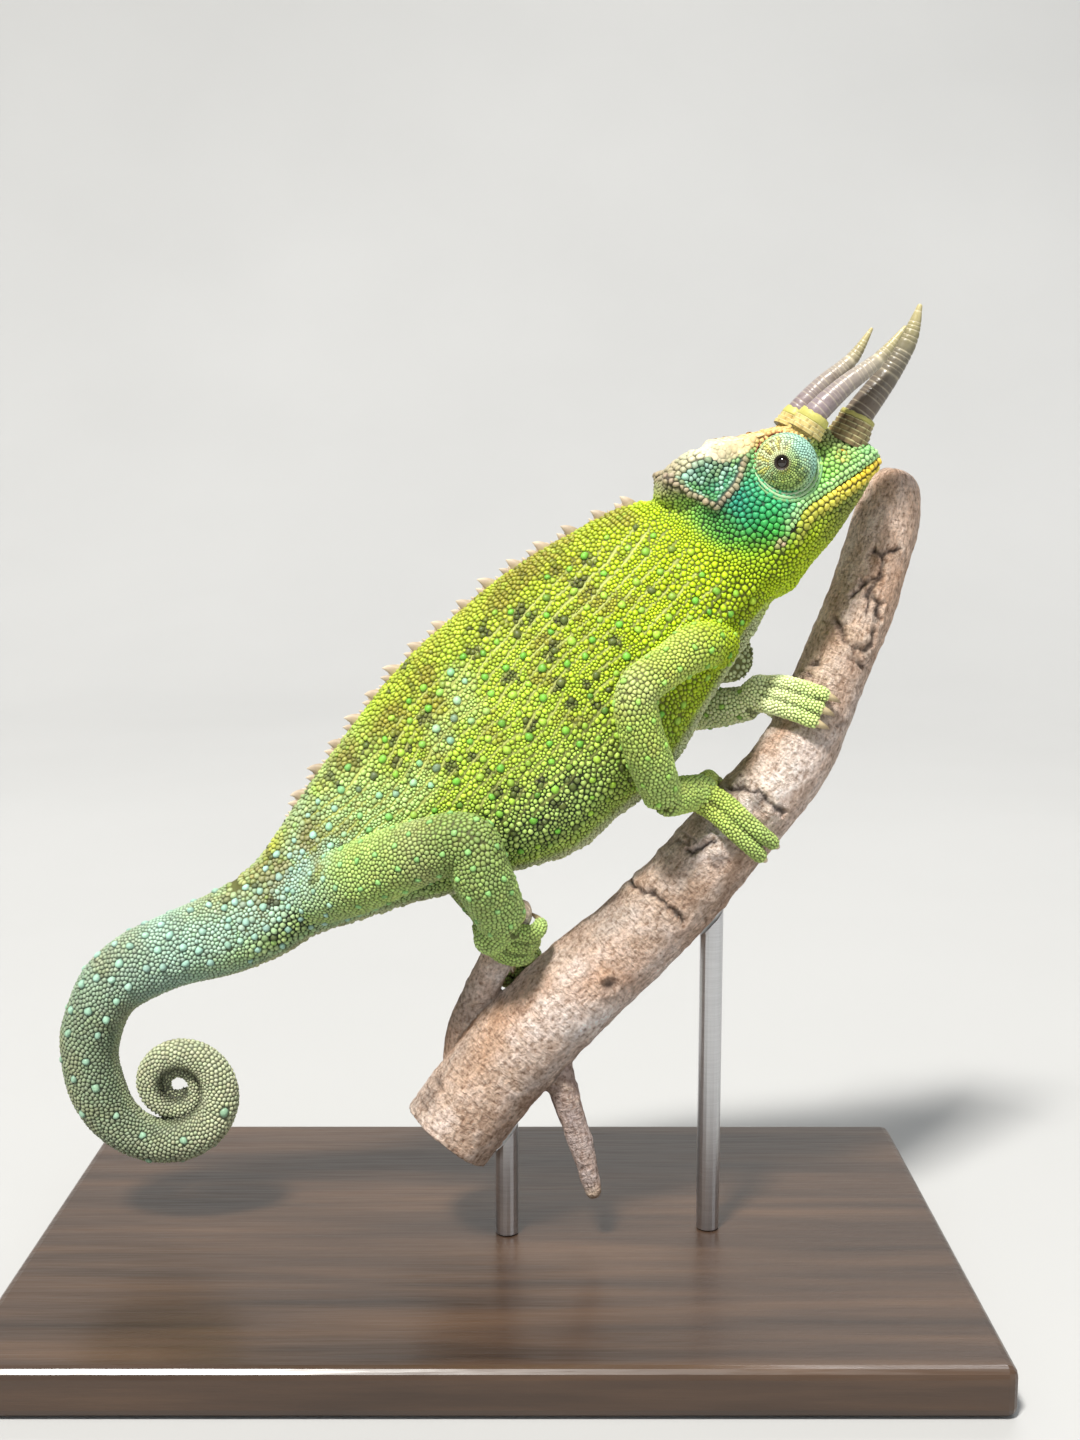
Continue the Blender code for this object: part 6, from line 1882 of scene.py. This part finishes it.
def make_perch():
    grids = [tube(BRANCH, 220, 96, 0.25, False, True), tube(TWIG, 70, 48, 0.1), tube(SNAG, 70, 48, 0.1)]
    sticks = [Form(name, grid) for name, grid in zip(("branch", "twig", "snag"), grids)]
    points, faces = remeshed([closed_grid(grid) for grid in grids], 0.38)
    points = smoothed(points, faces, 3)
    normals = vertex_normals(points, faces)
    places = Places(points, sticks)
    girth = np.array([stick.girth.mean() for stick in sticks])[places.form]
    turn = 2 * np.pi * places.turn
    radius = girth / 2 / np.pi
    grain = np.stack([places.along, radius * np.cos(turn), radius * np.sin(turn)], 1)
    coarse = noise(grain * np.array([0.5, 1, 1]), 7.0, 61)
    bumps = noise(grain * np.array([0.8, 1, 1]), 1.5, 62, 3)
    across = noise(grain * np.array([1, 0.25, 0.25]), 1.6, 63)
    on_branch = places.form == 0
    bends = hill(places.along - SCAR, 9.0) + hill(places.along - 8.0, 6.0) + hill(places.along - 104.0, 10.0)
    ring = (hill(across, 0.1) * rise(noise(grain * np.array([0.6, 1, 1]), 5.0, 64), 0.0, 0.5)
            * np.clip(bends, 0, 1))
    flat, cracks = points[:, [0, 2]], np.zeros(len(points))
    outer = points[:, 1] < np.interp(places.along, sticks[0].along, sticks[0].grid[:, :, 1].mean(1)) + 2.0
    wander = 1.1 * np.stack([noise(points, 1.5, 67, 3), noise(points, 1.5, 68, 3)], 1)
    lips = np.zeros(len(points))
    for line in CRACKS:
        away = to_line(flat + wander, line)
        cracks = np.maximum(cracks, hill(away, 0.36 + 0.4 * rise(bumps, -0.2, 0.6)) * outer)
        lips = np.maximum(lips, hill(away - 1.1, 0.5) * outer)
    crack = np.maximum(cracks, ring) * on_branch
    knot = np.minimum.reduce([
        np.linalg.norm(points - np.array(spot), axis=1) / size for spot, size in KNOTS])
    lengths = np.array([stick.along[-1] for stick in sticks])
    ends = np.minimum(places.along, lengths[places.form] - places.along)
    lift = 0.26 * coarse + 0.2 * bumps + 0.1 * across - 0.7 * crack + 0.2 * lips
    lift += 0.5 * hill(knot - 1.0, 0.3) - 0.7 * hill(knot, 0.55)
    scar = hill(places.along - SCAR, 0.8) * on_branch
    lift += 0.35 * scar * (0.6 + 0.4 * noise(grain, 1.5, 70))
    shape = points + normals * np.minimum(lift, 0.45)[:, None]
    colour = ramp(coarse + 0.5 * bumps, [
        (-0.8, srgb(160, 134, 116)), (-0.3, srgb(212, 188, 170)), (0.2, srgb(236, 218, 208)),
        (0.8, srgb(252, 244, 240))])
    warm = rise(noise(grain * np.array([0.35, 1, 1]), 9.0, 65), 0.05, 0.5)
    colour = mix(colour, srgb(206, 158, 118), warm * 0.5)
    grey = rise(noise(grain * np.array([0.3, 1, 1]), 8.0, 66), 0.1, 0.6)
    colour = mix(colour, srgb(204, 194, 188), grey * 0.5)
    # Painted light: the upper stretch of the branch is lightened where the head's shadow falls on it.
    colour = mix(colour, srgb(240, 208, 184), 0.45 * rise(points[:, 2], 92.0, 112.0) * on_branch)
    colour = mix(colour, srgb(176, 158, 156), (places.form == 2) * 0.6)
    # Near black in the cracks, the ring scar and the knot: partly their own dark colour, partly painted shade
    # in these hollows.
    colour = mix(colour, srgb(44, 32, 27), np.maximum(crack, hill(knot, 0.7) * 0.9) * 0.92)
    colour = mix(colour, srgb(202, 182, 150), (places.form > 0) * (1 - rise(ends, 0.5, 3.5)) * 0.6)
    peeled = hill(np.hypot(points[:, 0] - 61.9, points[:, 2] - 112.9) + 0.8 * bumps, 2.2) * outer * on_branch
    colour = mix(colour, srgb(238, 214, 192), peeled * 0.8)
    colour = mix(colour, srgb(230, 212, 196), lips * rise(bumps, -0.2, 0.3) * 0.6)
    start, after = np.array(BRANCH[0][:3]), np.array(BRANCH[1][:3])
    cut = on_branch & (normals @ unit(start - after) > 0.8) & (places.along < 6)
    rings = 0.5 + 0.5 * np.sin(np.linalg.norm(points - start, axis=1) * 2 * np.pi / 0.8)
    wood = mix(np.broadcast_to(srgb(196, 160, 112), colour.shape), srgb(156, 118, 78), rings)
    colour = np.where(cut[:, None], wood, colour)
    piece = new_piece("branch", shape, faces, bark_material(), colour)
    layer = piece.data.attributes.new("grain", "FLOAT_VECTOR", "POINT")
    layer.data.foreach_set("vector", grain.astype(np.float32).ravel())
    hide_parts("perch")


# Stage

def new_stage(name, points, faces, surface):
    mesh = bpy.data.meshes.new(name)
    mesh.from_pydata(points, [], faces)
    mesh.shade_smooth()
    mesh.materials.append(surface)
    obj = bpy.data.objects.new(name, mesh)
    bpy.context.scene.collection.objects.link(obj)


def make_stage():
    surface, tree, shader = nodes_for("pale_floor", 0.85)
    tone = ramp_output(tree, noise_output(tree, 3.0), [
        (0.3, (0.42, 0.42, 0.415)), (0.7, (0.45, 0.45, 0.445))])
    tree.links.new(tone, shader.inputs["Base Color"])
    profile = [(-3.0, 0.0), (0.7, 0.0)]
    profile += [(0.7 + 0.8 * math.sin(a), 0.8 - 0.8 * math.cos(a)) for a in np.linspace(0.1, math.pi / 2, 16)]
    profile += [(1.5, 3.0)]
    points = [(x, y, z - 0.0002) for y, z in profile for x in (-4.0, 4.0)]
    faces = [(2 * i, 2 * i + 1, 2 * i + 3, 2 * i + 2) for i in range(len(profile) - 1)]
    new_stage("floor", points, faces, surface)


def add_light(name, place, target, size, power, colour=(1, 1, 1)):
    light = bpy.data.lights.new(name, "AREA")
    light.shape = "RECTANGLE"
    light.size, light.size_y = size
    light.energy, light.color = power, colour
    obj = bpy.data.objects.new(name, light)
    obj.location = place
    obj.rotation_euler = (Vector(target) - Vector(place)).to_track_quat("-Z", "Y").to_euler()
    bpy.context.scene.collection.objects.link(obj)


def make_light_and_camera():
    scene = bpy.context.scene
    scene.view_settings.view_transform = "Standard"
    world = bpy.data.worlds.new("studio")
    world.use_nodes = True
    world.node_tree.nodes["Background"].inputs["Color"].default_value = (0.86, 0.93, 1.0, 1)
    world.node_tree.nodes["Background"].inputs["Strength"].default_value = 0.27
    scene.world = world
    add_light("key", (-0.7, -1.3, 2.6), (0.01, 0, 0.1), (0.42, 0.42), 150.0, (1, 0.975, 0.93))
    add_light("fill", (2.2, -1.9, 1.0), (0.01, 0, 0.1), (1.6, 1.6), 17.0, (0.93, 0.97, 1))
    add_light("rim", (0.4, 1.5, 1.9), (0.01, 0, 0.1), (1.2, 0.8), 30.0)
    camera = bpy.data.cameras.new("camera")
    camera.lens, camera.sensor_width = 41.18, 36.0
    camera.clip_start, camera.clip_end = 0.01, 20.0
    obj = bpy.data.objects.new("camera", camera)
    obj.location = (0.0083, -0.2773, 0.138)
    obj.rotation_euler = (math.radians(82), 0, 0)
    scene.collection.objects.link(obj)
    scene.camera = obj


def dress(name, surface):
    for slot in bpy.data.objects[name].material_slots:
        slot.material = surface


make_light_and_camera()
make_stage()
make_perch()
SKIN, CLAWS = make_skin_and_coat()
make_eyes()
make_folds(SKIN)
make_nostrils(SKIN)
make_sheaths()
make_horns()
make_claws(CLAWS)
make_spines()
dress("stand_base", wood_material())
STEEL = steel_material()
dress("stand_rod_low", STEEL)
dress("stand_rod_high", STEEL)
